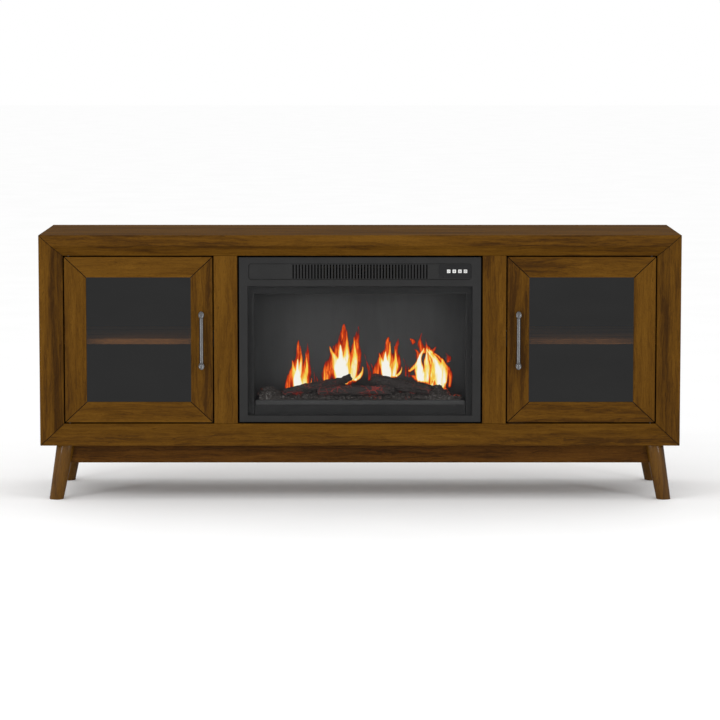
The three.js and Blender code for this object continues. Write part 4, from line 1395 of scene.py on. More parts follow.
@dataclass
class Door(Assembly):
    """A framed door: four mitred rails round a tinted pane, a bead behind it and a bar handle."""

    side: str
    stile: float = 62 * MM
    rail: float = 58.4 * MM
    pane_setback: float = 8 * MM
    pane_overlap: float = 7 * MM
    bead_slip: float = 0.5 * MM
    mitre_gap: float = 0.6 * MM
    ease: float = 0.7 * MM
    pane_ease: float = 0.4 * MM
    pin_radius: float = 3.4 * MM
    pin_depth: float = 14.3 * MM
    knob_half_width: float = 8 * MM
    knob_half_height: float = 10.6 * MM

    def build(self) -> None:
        """Makes the door's four pieces."""
        self.frame_boards()
        self.bead()
        self.remake(f"{self.side}_door_pane", self.finishes.tinted_glass, self.pane_ease, 1)
        self.handle()
        log.info("%s door: mitred frame, bead, pane and handle", self.side)

    def mitred(
        self, node: str, section: Sequence[tuple[float, float]], stile: float, rail: float
    ) -> dict[str, Piece]:
        """Four boards round an opening, mitred at the corners.

        Args:
            node: the CAD node whose box they fill.
            section: the boards' section: pairs of a share of the width, from outside in, and a depth in Y.
            stile: the width of the upright boards.
            rail: the width of the level boards.

        Returns:
            The boards by their place.
        """
        low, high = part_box(node)
        gap = self.mitre_gap
        boards = {}
        for place in (*SIDES, "lower", "upper"):
            rings: list[list[Vector]] = [[], []]
            for share, y in section:
                left, right = low.x + share * stile, high.x - share * stile
                bottom, top = low.z + share * rail, high.z - share * rail
                if place in SIDES:
                    x = left if place == "left" else right
                    ends = (Vector((x, y, bottom + gap)), Vector((x, y, top - gap)))
                else:
                    z = bottom if place == "lower" else top
                    ends = (Vector((left + gap, y, z)), Vector((right - gap, y, z)))
                for ring, end in zip(rings, ends):
                    ring.append(end)
            boards[place] = stacked(f"{node}_{place}", rings)
        return boards

    def frame_boards(self) -> None:
        """The frame, with its rebate for the pane and its holes for the pivots."""
        node = f"{self.side}_door_frame"
        low, high, _, _ = span(node)
        lap = 1 - self.pane_overlap / self.stile
        front, back = low.y, high.y
        step = front + self.pane_setback
        section = [(0, front), (1, front), (1, step), (lap, step), (lap, back), (0, back)]
        pin = span(f"{self.side}_door_upper_pivot")[2]
        hole = [(self.pin_radius, 0), (self.pin_radius, 2 * self.pin_depth)]
        for place, board in self.mitred(node, section, self.stile, self.rail).items():
            eased(board, self.ease)
            for edge, near in (("upper", high.z), ("lower", low.z)):
                if place in (edge, self.side):
                    start = (pin.x, pin.y, near - self.pin_depth)
                    combined(board, turned("pin_hole", hole, start, "z", 32), "DIFFERENCE")
            grain = Grain.UPRIGHT if place in SIDES else Grain.ACROSS
            self.dress(board, self.finishes.walnut.along(grain), node)
            # the mitre faces are painted near-black as shade in the joints
            faced(board, self.finishes.joint_line, on_mitre)

    def bead(self) -> None:
        """The bead behind the pane, a quarter round mitred at the corners."""
        node = f"{self.side}_door_bead"
        low, high, _, size = span(node)
        width = self.pane_overlap - self.bead_slip
        curve = [(math.cos(a), math.sin(a)) for a in (QUARTER * i / 5 for i in range(6))]
        section = [(0, low.y), (1, low.y)]
        section += [(0.35 + 0.65 * c, low.y + size.y * (0.3 + 0.7 * s)) for c, s in curve]
        section.append((0, high.y))
        bead = one_piece(f"fine_{node}", list(self.mitred(node, section, width, width).values()))
        self.dress(polish(bead, 35), self.finishes.walnut, node)

    def handle(self) -> None:
        """The bar between two dished oval ends, each on its post."""
        node = f"{self.side}_door_handle"
        low, high, middle, size = span(node)
        reach = size.z / 2 - self.knob_half_height
        swell = [(7.4, 0.8), (7.1, 2.4), (6.4, 5.6), (5.95, 10.4), (5.8, 18.0)]
        lower = [(radius * MM, along * MM - reach) for radius, along in swell]
        profile = lower + [(radius, -along) for radius, along in reversed(lower)]
        grip = turned(f"fine_{node}", profile, (middle.x, low.y + self.knob_half_width, middle.z), "z")
        dish = [(0.4, 2.4), (3.2, 2.2), (5.0, 1.5), (6.2, 0.4), (6.9, 0.1), (7.5, 0.5), (8.0, 2.2),
                (8.0, 6.0), (7.0, 9.5), (5.2, 12.5), (4.2, 16.0)]
        oval = [(radius * MM, low.y - high.y + along * MM) for radius, along in dish]
        oval.append((4.0 * MM, -0.4 * MM))
        stretch = self.knob_half_height / self.knob_half_width
        for end in (-1, 1):
            base = (middle.x, high.y, middle.z + end * reach)
            combined(grip, turned("knob", oval, base, "y", stretch=stretch), "UNION")
        self.dress(polish(grip, 38), self.finishes.dark_nickel, node)


# ---- The insert's front -------------------------------------------------------------------------


class Symbol(Enum):
    """What each key shows; its number is the key's."""

    POWER = 1
    FLAME = 2
    HEAT = 3
    TIMER = 4


def arc(radius: float, start: float, end: float, steps: int = 20) -> list[tuple[float, float]]:
    """Points along an arc, from start to end degrees, anticlockwise from the right."""
    angles = (math.radians(start + (end - start) * i / steps) for i in range(steps + 1))
    return [(radius * math.cos(a), radius * math.sin(a)) for a in angles]


@dataclass
class InsertFront(Assembly):
    """The bezel, the glass and the control panel with its keys."""

    bezel_ease: float = 1.6 * MM
    surround_ease: float = 1.2 * MM
    panel_ease: float = 0.35 * MM
    fine_ease: float = 0.3 * MM
    fin_pitch: float = 8.87 * MM
    fin_count: int = 27
    fin_setback: float = 3.4 * MM
    window_half: tuple[float, float] = (52 * MM, 19 * MM)
    window_corner: float = 5 * MM
    window_rise: tuple[float, float] = (0.35 * MM, 0.02 * MM)
    key_slip: float = -0.85 * MM
    stroke_half: float = 0.42 * MM
    stroke_rise: float = 0.12 * MM
    stroke_root: float = 0.1 * MM
    slot_shade: float = 0.4 * MM

    def build(self) -> None:
        """Makes the pieces of the insert's front."""
        black = self.finishes.satin_black
        self.remake("insert_bezel", black, self.bezel_ease)
        panel = self.remake("control_panel", black, self.panel_ease, 1)
        floor_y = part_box("control_panel")[0].y + self.slot_shade
        # faces set back into the slots get painted shade
        faced(panel, self.finishes.slot_black, lambda face: face.center.y > floor_y and face.normal.y < 0.9)
        # the recessed surround gets the darker black as painted shade
        self.remake("view_surround", self.finishes.inner_black, self.surround_ease)
        self.remake("front_glass", self.finishes.clear_glass, self.fine_ease, 1)
        self.fins()
        self.display()
        for symbol in Symbol:
            self.key(symbol)
        log.info("insert front: bezel, glass, surround, panel, fins, display and %d keys", len(Symbol))

    def fins(self) -> None:
        """The louvre fins behind the open slots."""
        _, high, middle, size = span("control_panel")
        first = middle.x - self.fin_pitch * (self.fin_count - 1) / 2
        # the fins take the slots' painted shade
        black = self.finishes.slot_black
        self.dress(self.patterns.row.grown(
            "outlet_fins", black, None, Count=self.fin_count, Step=(self.fin_pitch, 0, 0),
            Start=(first, high.y + self.fin_setback, middle.z),
            Size=(0.8 * MM, 5.4 * MM, size.z - 7 * MM), Tilt=(0, 0, 0.35),
        ), black)

    def display(self) -> None:
        """The window round the keys, with its round corners."""
        keys = [span(f"button_{symbol.value}") for symbol in Symbol]
        middle = (keys[0][2] + keys[-1][2]) / 2
        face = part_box("control_panel")[0].y
        (half_x, half_z), corner = self.window_half, self.window_corner
        outline = []
        for turn, (x, z) in enumerate(((1, 1), (-1, 1), (-1, -1), (1, -1))):
            for i in range(7):
                angle = (turn + i / 6) * QUARTER
                across = x * (half_x - corner) + corner * math.cos(angle)
                up = z * (half_z - corner) + corner * math.sin(angle)
                outline.append((middle.x + across, middle.z + up))
        rings = [[Vector((x, face - rise, z)) for x, z in outline] for rise in self.window_rise]
        window = stacked("key_window", rings)
        for _, _, centre, size in keys:
            half = size.z / 2 + self.key_slip
            square = [(-half, -half), (half, -half), (half, half), (-half, half)]
            rings = [
                [Vector((centre.x + x, face + y, centre.z + z)) for x, z in square]
                for y in (-2 * MM, 2 * MM)
            ]
            combined(window, stacked("hole", rings), "DIFFERENCE")
        self.dress(polish(window, 30), self.finishes.display)

    def key(self, symbol: Symbol) -> None:
        """A push key with its printed symbol.

        Args:
            symbol: what it shows.
        """
        node, body = f"button_{symbol.value}", f"key_{symbol.value}"
        self.remake(node, self.finishes.key_print, self.fine_ease, body=body)
        low, _, middle, _ = span(node)
        strokes = [self.stroke(path) for path in self.symbol_paths(symbol)]
        mark = one_piece(f"{node}_symbol", strokes)
        mark.data.transform(Matrix.Translation((middle.x, low.y, middle.z)))
        self.dress(mark, self.finishes.black_plastic, body=body)

    def symbol_paths(self, symbol: Symbol) -> list[list[tuple[float, float]]]:
        """The strokes of a symbol.

        Args:
            symbol: the symbol.

        Returns:
            The lines that its strokes follow, in millimetres from the cap's middle.
        """
        shares = [i / 14 for i in range(15)]
        if symbol is Symbol.POWER:
            return [arc(2.5, 125, 415), [(0, 0.6), (0, 3.2)]]
        if symbol is Symbol.FLAME:
            left = [(-2.0 * math.sin(math.pi * t) * (1 - 0.35 * t), -2.8 + 5.9 * t) for t in shares]
            return [left + [(-x, z) for x, z in reversed(left[:-1])], [(0, -2.2), (0, 0.2)]]
        if symbol is Symbol.HEAT:
            heights = [-2.8 + 5.6 * t for t in shares]
            return [[(x + 0.5 * math.sin(2.1 * z), z) for z in heights] for x in (-2.0, 0.0, 2.0)]
        return [arc(2.9, 0, 360, 32), [(0, 1.9), (0, 0), (1.5, -0.9)]]

    def stroke(self, path: Sequence[tuple[float, float]]) -> Piece:
        """A raised line along a path.

        Args:
            path: the path, in millimetres.

        Returns:
            The line as a closed strip.
        """
        up, down = Vector((0, -self.stroke_rise, 0)), Vector((0, self.stroke_root, 0))
        rings = []
        for i, (x, z) in enumerate(path):
            before, after = path[max(i - 1, 0)], path[min(i + 1, len(path) - 1)]
            along = Vector((after[0] - before[0], 0, after[1] - before[1])).normalized()
            side = Vector((along.z, 0, -along.x)) * self.stroke_half
            spot = Vector((x, 0, z)) * MM
            rings.append([spot - side + up, spot + side + up, spot + side + down, spot - side + down])
        return stacked("stroke", rings)


# ---- The firebox --------------------------------------------------------------------------------


@dataclass(frozen=True)
class Tongue:
    """One lick of flame, in shares of its flame's width and height."""

    root: tuple[float, float]
    tip: tuple[float, float]
    bow: float
    width: float
    heat: float
    cooling: float


UPRIGHT_FLAME = (
    Tongue((0.50, -0.05), (0.54, 1.02), -0.03, 0.74, 0.60, 0.60),
    Tongue((0.68, 0.00), (0.86, 0.98), 0.02, 0.50, 0.52, 0.70),
    Tongue((0.12, -0.04), (0.33, 0.62), -0.03, 0.28, 0.42, 0.5),
    Tongue((0.06, 0.00), (0.13, 0.34), -0.02, 0.14, 0.36, 0.5),
    Tongue((0.44, 0.10), (0.24, 0.62), -0.02, 0.30, 0.84, 0.4),
    Tongue((0.55, 0.30), (0.60, 0.92), 0.03, 0.20, 0.74, 0.5),
    Tongue((0.73, 0.00), (0.76, 0.80), 0.04, 0.22, 0.76, 0.45),
    Tongue((0.50, -0.06), (0.46, 0.64), -0.02, 0.46, 1.30, 0.4),
    Tongue((0.80, -0.02), (0.98, 0.24), 0.05, 0.14, 0.86, 0.3),
    Tongue((1.12, 0.00), (1.02, 0.46), 0.03, 0.10, 0.26, 0.4),
    Tongue((1.24, -0.04), (1.16, 0.30), 0.02, 0.10, 0.24, 0.4),
)

FANNED_FLAME = (
    Tongue((0.60, -0.10), (0.43, 0.80), 0.06, 0.78, 0.46, 0.3),
    Tongue((0.80, -0.12), (0.48, 0.70), 0.12, 0.34, 0.84, 0.4),
    Tongue((0.30, 0.02), (0.36, 0.72), -0.04, 0.30, 1.15, 0.35),
    Tongue((0.42, 0.00), (0.44, 0.74), 0.04, 0.24, 0.84, 0.35),
    Tongue((0.72, -0.06), (0.42, 0.72), 0.10, 0.24, 0.98, 0.4),
    Tongue((0.60, 0.02), (0.50, 0.60), 0.03, 0.18, 0.62, 0.4),
    Tongue((0.88, -0.02), (0.50, 0.68), 0.16, 0.18, 0.74, 0.5),
    Tongue((0.98, -0.10), (0.72, 0.50), 0.12, 0.15, 0.46, 0.5),
    Tongue((0.92, -0.20), (0.62, 0.06), -0.05, 0.14, 0.42, 0.4),
    Tongue((0.24, 0.04), (0.04, 0.12), 0.02, 0.15, 0.42, 0.5),
    Tongue((0.05, 0.22), (0.30, 0.64), 0.08, 0.12, 0.66, 0.3),
    Tongue((0.30, 0.45), (0.16, 0.70), 0.03, 0.18, 0.48, 0.5),
    Tongue((0.36, 0.62), (0.30, 1.04), -0.05, 0.18, 0.44, 0.6),
    Tongue((0.40, 0.62), (0.40, 0.96), 0.03, 0.12, 0.38, 0.6),
    Tongue((0.14, 0.82), (0.02, 0.92), 0.02, 0.15, 0.36, 0.4),
    Tongue((0.52, 0.62), (0.66, 0.76), 0.02, 0.15, 0.44, 0.4),
    Tongue((0.94, 0.42), (0.84, 0.62), 0.04, 0.14, 0.30, 0.5),
    Tongue((0.58, -0.30), (0.62, 0.04), -0.03, 0.15, 0.80, 0.2),
)


@dataclass(frozen=True)
class Flame:
    """Where a flame stands on the screen, from the middle of the tray's top, in millimetres."""

    name: str
    left: float
    right: float
    foot: float
    top: float
    seed: int
    tongues: tuple[Tongue, ...] = UPRIGHT_FLAME
    slender: float = 1.5

    def warmth(self, u: float, v: float) -> float:
        """How hot the flame is at a point.

        Args:
            u: the point's place across it, in shares of its width.
            v: the point's height in it, in shares of its height.

        Returns:
            The warmth: nothing at 0, red from 0.2, orange from 0.4, yellow from 0.7 and white from 0.9.
        """
        drift = noise.noise(Vector((u * 2.2, v * 2.6, self.seed * 3.7)))
        flicker = noise.noise(Vector((u * 7.5, v * 3.4, self.seed * 5.1)))
        u += (0.05 * drift + 0.022 * flicker) * min(1.0, max(0.0, v) * 2.5)
        total = 0.0
        for tongue in self.tongues:
            (x0, z0), (x1, z1) = tongue.root, tongue.tip
            dx, dz = x1 - x0, (z1 - z0) * self.slender
            length = math.hypot(dx, dz)
            px, pz = u - x0, (v - z0) * self.slender
            t = (px * dx + pz * dz) / length ** 2
            if not -0.08 < t < 1:
                continue
            along = max(t, 0.0)
            aside = (px * dz - pz * dx) / length - tongue.bow * math.sin(math.pi * along)
            swell = (0.62 + 0.38 * math.sin(math.pi * min(1.0, along / 0.7))) * (1 - along) ** 0.62
            reach = abs(aside) / max(0.004, tongue.width * 0.5 * swell)
            if reach < 1:
                foot = 1 + min(0.0, t) / 0.08
                total += (tongue.heat * (1 - tongue.cooling * along ** 1.2) * (1 - reach ** 3) * foot) ** 2
        return math.sqrt(total)


FLAMES = (
    Flame("flame_one", -218, -138, 20, 162, 3),
    Flame("flame_two", -113, 12, 52, 209, 5),
    Flame("flame_three", 36, 122, 62, 172, 9),
    Flame("flame_four", 138, 262, 46, 180, 11, FANNED_FLAME, 1.1),
)


@dataclass(frozen=True)
class Log:
    """One moulded log, from the middle of the tray's top, in millimetres."""

    start: tuple[float, float, float]
    end: tuple[float, float, float]
    radii: tuple[float, float]
    seed: int
    lean: float


LOGS = (
    Log((-222, -8, 17), (-44, 14, 44), (12.5, 18.5), 1, 3.0),
    Log((208, -6, 24), (32, 12, 54), (18.0, 21.0), 2, -2.0),
    Log((-122, -18, 22), (100, -14, 24), (14.0, 16.5), 3, 3.0),
    Log((-66, 2, 46), (-26, -2, 64), (10.5, 10.5), 4, 0.0),
)


@dataclass(frozen=True)
class Heap:
    """A heap of embers, from the middle of the tray's top, in metres."""

    x: float
    y: float
    width: float
    rise: float


HEAPS = (
    Heap(-0.262, 0.0, 0.030, 0.028),
    Heap(0.222, 0.004, 0.028, 0.030),
    Heap(-0.13, 0.012, 0.08, 0.010),
    Heap(0.11, 0.012, 0.08, 0.014),
)


@dataclass
class Firebox(Assembly):
    """The tray, the logs on their embers, the screen and the flames on it."""

    tray_ease: float = 0.5 * MM
    lip_inset: float = 4 * MM
    log_rings: int = 84
    log_sides: int = 60
    bark: float = 2.6 * MM
    broken: float = 5 * MM
    bed_cells: tuple[int, int] = (150, 22)
    bed_margin: float = 2 * MM
    bed_lift: float = 0.3 * MM
    heap_depth: float = 0.035
    flame_gap: float = 1.6 * MM
    flame_cell: float = 1.3 * MM
    flame_reach: tuple[float, float] = (1.6, 1.4)
    flame_start: tuple[float, float] = (-0.25, -0.32)
    origin: Vector = field(init=False)

    def __post_init__(self) -> None:
        """Takes the middle of the tray's top, which logs and flames are placed from."""
        _, high, middle, _ = span("ember_tray")
        self.origin = Vector((middle.x, middle.y, high.z))

    def build(self) -> None:
        """Makes the firebox's pieces."""
        # the tray gets the darker black as painted shade under its lip
        self.remake("ember_tray", self.finishes.inner_black, self.tray_ease)
        self.lip()
        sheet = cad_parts["flame_screen"].data
        sheet.materials.clear()
        sheet.materials.append(self.finishes.screen_grey.material("flame_screen"))
        for face in sheet.polygons:
            face.material_index = 0
        logs = one_piece("charred_logs", [self.log_body(item) for item in LOGS])
        self.dress(polish(logs, 60), self.finishes.charred_resin, "log_set")
        self.embers()
        for flame in FLAMES:
            self.flame(flame)
        log.info("firebox: tray, screen, %d logs, embers and %d flames", len(LOGS), len(FLAMES))

    def lip(self) -> None:
        """The rolled lip along the tray's front edge."""
        low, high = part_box("ember_tray")
        section = [(-1.3, -11), (-1.5, -9.5), (-1.5, -1.5), (-0.6, 0.6), (1.0, 1.6), (8.0, 1.8),
                   (9.0, 0.6), (9.0, -0.6), (0.4, -0.6), (0.4, -11)]
        rings = [
            [Vector((x, low.y + y * MM, high.z + z * MM)) for y, z in section]
            for x in (low.x + self.lip_inset, high.x - self.lip_inset)
        ]
        # the lip gets the paler black as painted light
        self.dress(polish(stacked("ember_tray_lip", rings), 50), self.finishes.lip_black)

    def log_body(self, item: Log) -> Piece:
        """A bar of bark with a broken end at each side.

        Args:
            item: where the log lies.

        Returns:
            The log.
        """
        start, end = (self.origin + Vector(point) * MM for point in (item.start, item.end))
        along = end - start
        axis = along.normalized()
        side = axis.cross(Vector((0, 0, 1))).normalized()
        up = side.cross(axis)
        bark_shift = Vector((item.seed * 7.3, 0, 0))
        rings = []
        for row in range(self.log_rings + 1):
            t = row / self.log_rings
            radius = (item.radii[0] + (item.radii[1] - item.radii[0]) * t) * MM
            closing = min(1.0, 0.72 + 9 * min(t, 1 - t))
            centre = start + along * t + up * (item.lean * MM * math.sin(math.pi * t))
            breaks = self.broken if row in (0, self.log_rings) else 0.0
            ring = []
            for angle in circle(self.log_sides):
                out = side * math.cos(angle) + up * math.sin(angle)
                plate = Vector((t * along.length * 28, math.cos(angle) * 1.6, math.sin(angle) * 1.6))
                nearest = noise.voronoi(plate + bark_shift)[0]
                grooves = min(1.0, (nearest[1] - nearest[0]) * 3.2)
                rough = noise.fractal((centre + out * radius) * 130 + bark_shift, 0.8, 2.1, 4)
                bulge = noise.noise(Vector((t * 4, math.cos(angle), math.sin(angle))) + bark_shift)
                offset = self.bark * (0.9 * grooves - 0.9 + 0.42 * rough + 0.9 * bulge)
                crag = axis * (breaks * noise.noise(out * 2.3 + bark_shift))
                ring.append(centre + out * (radius * closing + offset) + crag)
            rings.append(ring)
        return stacked(f"log_{item.seed}", rings)

    def bed_height(self, x: float, y: float) -> float:
        """How high the embers lie above the tray, in metres, at a place measured from its middle."""
        height = 0.006 + 0.0035 * noise.noise(Vector((x * 55, y * 55, 2.0)))
        for heap in HEAPS:
            away = ((x - heap.x) / heap.width) ** 2 + ((y - heap.y) / self.heap_depth) ** 2
            height += heap.rise * math.exp(-away)
        return max(height, 0.002)

    def embers(self) -> None:
        """The ember bed and the coals scattered over it."""
        low, _, middle, size = span("log_set")
        columns, rows = self.bed_cells
        margin = self.bed_margin
        base = self.origin.z + self.bed_lift
        tops, feet = [], []
        for j in range(rows + 1):
            for i in range(columns + 1):
                x = low.x + margin + (size.x - 2 * margin) * i / columns
                y = low.y + margin + (size.y - 2 * margin) * j / rows
                tops.append((x, y, base + self.bed_height(x - middle.x, y - self.origin.y)))
                feet.append((x, y, base))

        def at(i: int, j: int, under: int = 0) -> int:
            """A grid point's number, on the top or under it."""
            return under * len(tops) + j * (columns + 1) + i

        over = [
            (at(i, j), at(i + 1, j), at(i + 1, j + 1), at(i, j + 1))
            for j in range(rows) for i in range(columns)
        ]
        under = [tuple(len(tops) + number for number in reversed(face)) for face in over]
        edge = [(i, 0) for i in range(columns)] + [(columns, j) for j in range(rows)]
        edge += [(i, rows) for i in range(columns, 0, -1)] + [(0, j) for j in range(rows, 0, -1)]
        walls = [
            (at(k, m), at(i, j), at(i, j, 1), at(k, m, 1))
            for (i, j), (k, m) in zip(edge, edge[1:] + edge[:1])
        ]
        bed = polish(solid("ember_bed", tops + feet, over + under + walls), 60)
        surface = bpy.data.meshes.new("ember_surface")
        surface.from_pydata(tops, [], over)
        coals = self.patterns.lumps.grown(
            "ember_coals", self.finishes.embers, surface, Spacing=7.4 * MM, Smallest=3.0 * MM,
            Largest=8.2 * MM, Roughness=6.0 * MM, Seed=12,
        )
        for piece in (bed, coals):
            self.dress(piece, self.finishes.embers)

    def flame(self, item: Flame) -> None:
        """A flame: one thin closed sheet in front of the screen, which carries its warmth at each point.

        Args:
            item: the flame.
        """
        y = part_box("flame_screen")[0].y - self.flame_gap
        wide, tall = (item.right - item.left) * MM, (item.top - item.foot) * MM
        left, foot = self.origin.x + item.left * MM, self.origin.z + item.foot * MM
        (reach_u, reach_v), (start_u, start_v) = self.flame_reach, self.flame_start
        columns = round(reach_u * wide / self.flame_cell)
        rows = round(reach_v * tall / self.flame_cell)
        across = [reach_u * i / columns + start_u for i in range(columns + 1)]
        up = [reach_v * j / rows + start_v for j in range(rows + 1)]
        heats = {(i, j): item.warmth(u, v) for i, u in enumerate(across) for j, v in enumerate(up)}
        kept = {
            (i, j) for i in range(columns) for j in range(rows)
            if max(heats[i, j], heats[i + 1, j], heats[i, j + 1], heats[i + 1, j + 1]) > 0.03
        }
        pinched = True
        while pinched:
            pinched = {
                (i + k, j) for i, j in kept for k in (-1, 1) for m in (-1, 1)
                if (i + k, j + m) in kept and (i + k, j) not in kept and (i, j + m) not in kept
            }
            kept |= pinched
        numbers: dict[tuple[int, int, int], int] = {}
        points: list[Point] = []
        values: list[float] = []

        def at(i: int, j: int, side: int) -> int:
            """The number of a grid point on the front (-1) or the back (1) of the sheet."""
            if (i, j, side) not in numbers:
                numbers[i, j, side] = len(points)
                heat = heats[i, j]
                half = (0.15 + 0.6 * min(1.0, heat)) * MM
                points.append((left + across[i] * wide, y + side * half, foot + up[j] * tall))
                values.append(heat)
            return numbers[i, j, side]

        faces = []
        for i, j in kept:
            corners = ((i, j), (i + 1, j), (i + 1, j + 1), (i, j + 1))
            faces.append([at(*corner, -1) for corner in corners])
            faces.append([at(*corner, 1) for corner in reversed(corners)])
            beyond = ((i, j - 1), (i + 1, j), (i, j + 1), (i - 1, j))
            for n, other in enumerate(beyond):
                if other not in kept:
                    a, b = corners[n], corners[(n + 1) % 4]
                    faces.append([at(*b, -1), at(*a, -1), at(*a, 1), at(*b, 1)])
        piece = polish(solid(item.name, points, faces), 80)
        carried = piece.data.attributes.new("warmth", "FLOAT", "POINT")
        carried.data.foreach_set("value", values)
        self.dress(piece, self.finishes.fire)


# ---- The works inside ---------------------------------------------------------------------------


@dataclass
class Works(Assembly):
    """What heats, blows and lights: the housing and all that is in it behind the screen."""

    sheet_ease: float = 0.6 * MM
    frame_ease: float = 0.4 * MM
    board_ease: float = 0.3 * MM
    bar_ease: float = 0.2 * MM
    screw_inset: float = 10 * MM
    element_windows: int = 10
    element_wall: float = 4 * MM
    coil_play: float = 1.5 * MM
    spindle_radius: float = 3 * MM
    lamp_pitch: float = 44 * MM
    lamp_count: int = 12

    def build(self) -> None:
        """Makes the housing and the works."""
        for node in ("insert_housing", "heater_deck"):
            self.remake(node, self.finishes.sheet_steel, self.sheet_ease, 1)
        low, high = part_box("insert_housing")
        places = border(low, high, self.screw_inset, 6, 4)
        backwards = (-QUARTER, 0, 0)
        self.heads("housing_screws", places, backwards, Radius=3.4 * MM, Height=1.6 * MM, Sides=6, Seed=21)
        self.gland()
        self.heater()
        self.rotors()
        for node in ("blower_motor", "flame_motor"):
            self.motor(node)
        self.dress(polish(cad_copy("blower_duct"), 30), self.finishes.zinc_steel, "blower_duct")
        self.boards()
        log.info("works: housing, gland, heater, blower, flame rotor, motors and boards")

    def gland(self) -> None:
        """The gland, its flange rounded and its throat eased."""
        low, _, middle, size = span("cord_gland")
        flange, throat, barrel = size.x / 2, 3.5 * MM, size.x / 2 - 4 * MM
        tall, neck, r = size.y, size.y - 4 * MM, 1.0 * MM
        profile = [
            (throat, r), (throat + r, 0), (barrel - r, 0), (barrel, r), (barrel, neck), (flange, neck),
            (flange, tall - r), (flange - r, tall), (throat + r, tall), (throat, tall - r),
        ]
        base = (middle.x, low.y, middle.z)
        piece = turned("fine_cord_gland", profile, base, "y", 64, hollow=True)
        self.dress(polish(piece, 50), self.finishes.black_plastic, "cord_gland")

    def heater(self) -> None:
        """The heating element: its mica frame and the coils in its windows."""
        # the mica frame's dark colour is painted shade behind the slots
        self.remake("heating_element", self.finishes.mica, self.frame_ease, 1)
        low, _, middle, size = span("heating_element")
        wall, play = self.element_wall, self.coil_play
        pitch = (size.x - wall) / self.element_windows
        wire = self.finishes.hot_wire
        self.dress(self.patterns.coils.grown(
            "heating_coils", wire, None, Count=self.element_windows, Step=(pitch, 0, 0),
            Start=(low.x + (wall + pitch) / 2, middle.y, low.z + wall + play),
            Turns=9.0, Radius=3.4 * MM, Length=size.z - 2 * (wall + play), Wire=0.45 * MM,
        ), wire)

    def rotors(self) -> None:
        """The blower's bladed drum and the flame rotor's foil vanes."""
        steel, foil = self.finishes.sheet_steel, self.finishes.foil
        middle, size = span("blower_rotor")[2:]
        drum = self.patterns.rotor.grown(
            "fine_blower_rotor", steel, None, Middle=(span("blower_duct")[2].x, middle.y, middle.z),
            Blades=24, Radius=20 * MM, Length=260 * MM, Depth=6 * MM, Thickness=0.8 * MM,
            Pitch=(0, 0, 0.6), Shaft=self.spindle_radius, Axle=size.x - 40 * MM, Discs=6,
        )
        self.dress(drum, steel, "blower_rotor", body="blower_spindle")
        middle, size = span("flame_rotor")[2:]
        vanes = self.patterns.rotor.grown(
            "fine_flame_rotor", foil, None, Middle=middle, Blades=6, Radius=15 * MM,
            Length=size.x - 60 * MM, Depth=11 * MM, Thickness=0.5 * MM, Pitch=(0.0, 0.0, 0.25),
            Shaft=self.spindle_radius, Axle=size.x, Discs=4,
        )
        self.dress(vanes, foil, "flame_rotor", body="flame_spindle")

    def motor(self, node: str) -> None:
        """A motor: a can with rolled end caps and a bearing boss.

        Args:
            node: the CAD motor.
        """
        low, _, middle, size = span(node)
        radius, long = size.y / 2, size.x
        waist, half_mm = radius - 0.7 * MM, 0.5 * MM
        r, bore, cap = 1.2 * MM, 3.4 * MM, 5 * MM
        profile = [
            (bore, 0), (bore + 2.4 * MM, 0), (radius - r, 0.2 * MM), (radius, r), (radius, cap),
            (waist, cap + half_mm), (waist, long - cap - half_mm), (radius, long - cap),
            (radius, long - r), (radius - r, long), (half_mm, long),
        ]
        base = (low.x, middle.y, middle.z)
        can = turned(f"fine_{node}", profile, base, "x", 56)
        combined(can, turned("bore", [(bore, -1 * MM), (bore, 16 * MM)], base, "x", 32), "DIFFERENCE")
        self.dress(polish(can, 40), self.finishes.zinc_steel, node)

    def boards(self) -> None:
        """The control board with its chips, and the light bar with its lamps."""
        row, green = self.patterns.row, self.finishes.circuit_green
        self.remake("control_board", green, self.board_ease, 1)
        _, high, middle, _ = span("control_board")
        self.dress(row.grown(
            "control_board_chips", self.finishes.black_plastic, None, Count=5, Step=(7.5 * MM, 0, 0),
            Start=(middle.x - 2 * MM, high.y - 13.3 * MM, middle.z - 8 * MM),
            Size=(5 * MM, 1.4 * MM, 6 * MM), Tilt=(0, 0, 0),
        ), self.finishes.black_plastic)
        self.remake("led_bar", green, self.bar_ease, 1)
        _, high, middle, _ = span("led_bar")
        first = middle.x - self.lamp_pitch * (self.lamp_count - 1) / 2
        self.dress(row.grown(
            "led_lamps", self.finishes.key_print, None, Count=self.lamp_count,
            Step=(self.lamp_pitch, 0, 0), Start=(first, middle.y, high.z + 0.4 * MM),
            Size=(4 * MM, 4 * MM, 0.8 * MM), Tilt=(0, 0, 0),
        ), self.finishes.key_print)


# ---- Studio -------------------------------------------------------------------------------------


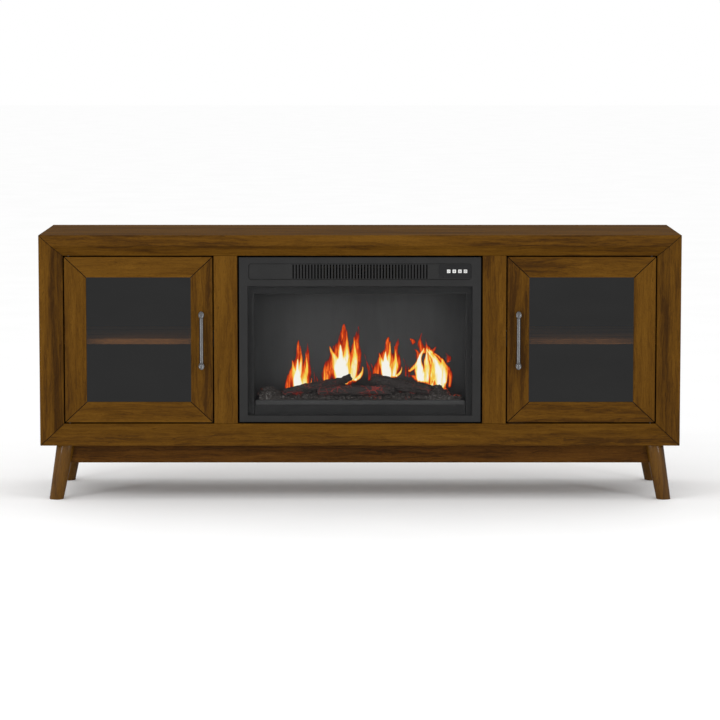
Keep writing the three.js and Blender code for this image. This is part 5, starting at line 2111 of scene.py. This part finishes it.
@dataclass
class Studio:
    """A plain white floor, soft lights and the camera."""

    lens: float = 159.83
    place: tuple[float, float, float] = (0.0, -9.2936, 1.38485)
    tilt: float = 83.835
    floor_half: float = 40.0
    key_power: float = 30
    strip_power: float = 46

    def build(self) -> None:
        """Sets the scene around the fireplace."""
        scene = bpy.context.scene
        scene.view_settings.view_transform = "Standard"
        self.floor()
        self.world()
        self.lamp("key_light", (-2.6, -4.2, 3.6), (0, 0, 0.35), (2.6, 1.6), self.key_power)
        for side, name in ((-1, "left_strip"), (1, "right_strip")):
            self.lamp(name, (3.4 * side, -3.4, 0.9), (0.6 * side, 0, 0.3), (0.3, 1.8), self.strip_power)
        view = bpy.data.cameras.new("camera")
        view.lens = self.lens
        view.clip_end = 100
        camera = bpy.data.objects.new("camera", view)
        camera.location = self.place
        camera.rotation_euler = (math.radians(self.tilt), 0, 0)
        scene.collection.objects.link(camera)
        scene.camera = camera
        log.info("studio: floor, lights and camera")

    def floor(self) -> None:
        """The floor, a wide white sheet."""
        half = self.floor_half
        corners = [(-half, -half, 0), (half, -half, 0), (half, half, 0), (-half, half, 0)]
        mesh = bpy.data.meshes.new("floor")
        mesh.from_pydata(corners, [], [(0, 1, 2, 3)])
        sheet = shown("floor", mesh)
        tree = Paint("floor")
        whites = [(0.3, (0.97, 0.97, 0.97, 1)), (0.7, (0.99, 0.99, 0.99, 1))]
        colour = tree.ramp(tree.noise(3, 2), whites)
        mesh.materials.append(tree.surface(Base_Color=colour, Roughness=0.9, Specular_IOR_Level=0.0))

    def world(self) -> None:
        """A white surround that lights softly from every side."""
        world = bpy.data.worlds.new("surround")
        bpy.context.scene.world = world
        world.use_nodes = True
        tree = Graph(world.node_tree)
        sky = tree.out("ShaderNodeBackground", {"Color": (1, 1, 1, 1), "Strength": 1.0})
        tree.add("ShaderNodeOutputWorld", {"Surface": sky})

    def lamp(self, name: str, place: Point, aim: Point, size: tuple[float, float], power: float) -> None:
        """A soft rectangular light.

        Args:
            name: its name.
            place: where it stands.
            aim: the point that it faces.
            size: its width and height.
            power: its power in watts.
        """
        light = bpy.data.lights.new(name, "AREA")
        light.shape = "RECTANGLE"
        light.size, light.size_y = size
        light.energy = power
        lamp = bpy.data.objects.new(name, light)
        lamp.location = place
        lamp.rotation_euler = (Vector(aim) - Vector(place)).to_track_quat("-Z", "Y").to_euler()
        bpy.context.scene.collection.objects.link(lamp)


# ---- Assembly -----------------------------------------------------------------------------------


def main() -> None:
    """Builds the fireplace around its frame, piece by piece."""
    logging.basicConfig(level=logging.INFO, format="%(message)s")
    finishes = Finishes()
    patterns = Patterns()
    Studio().build()
    Console(finishes, patterns).build()
    Base(finishes, patterns).build()
    for side in SIDES:
        Cabinet(finishes, patterns, side).build()
        Door(finishes, patterns, side, body=f"{side}_door").build()
    for part in (InsertFront, Firebox, Works):
        part(finishes, patterns).build()


if __name__ == "__main__":
    main()
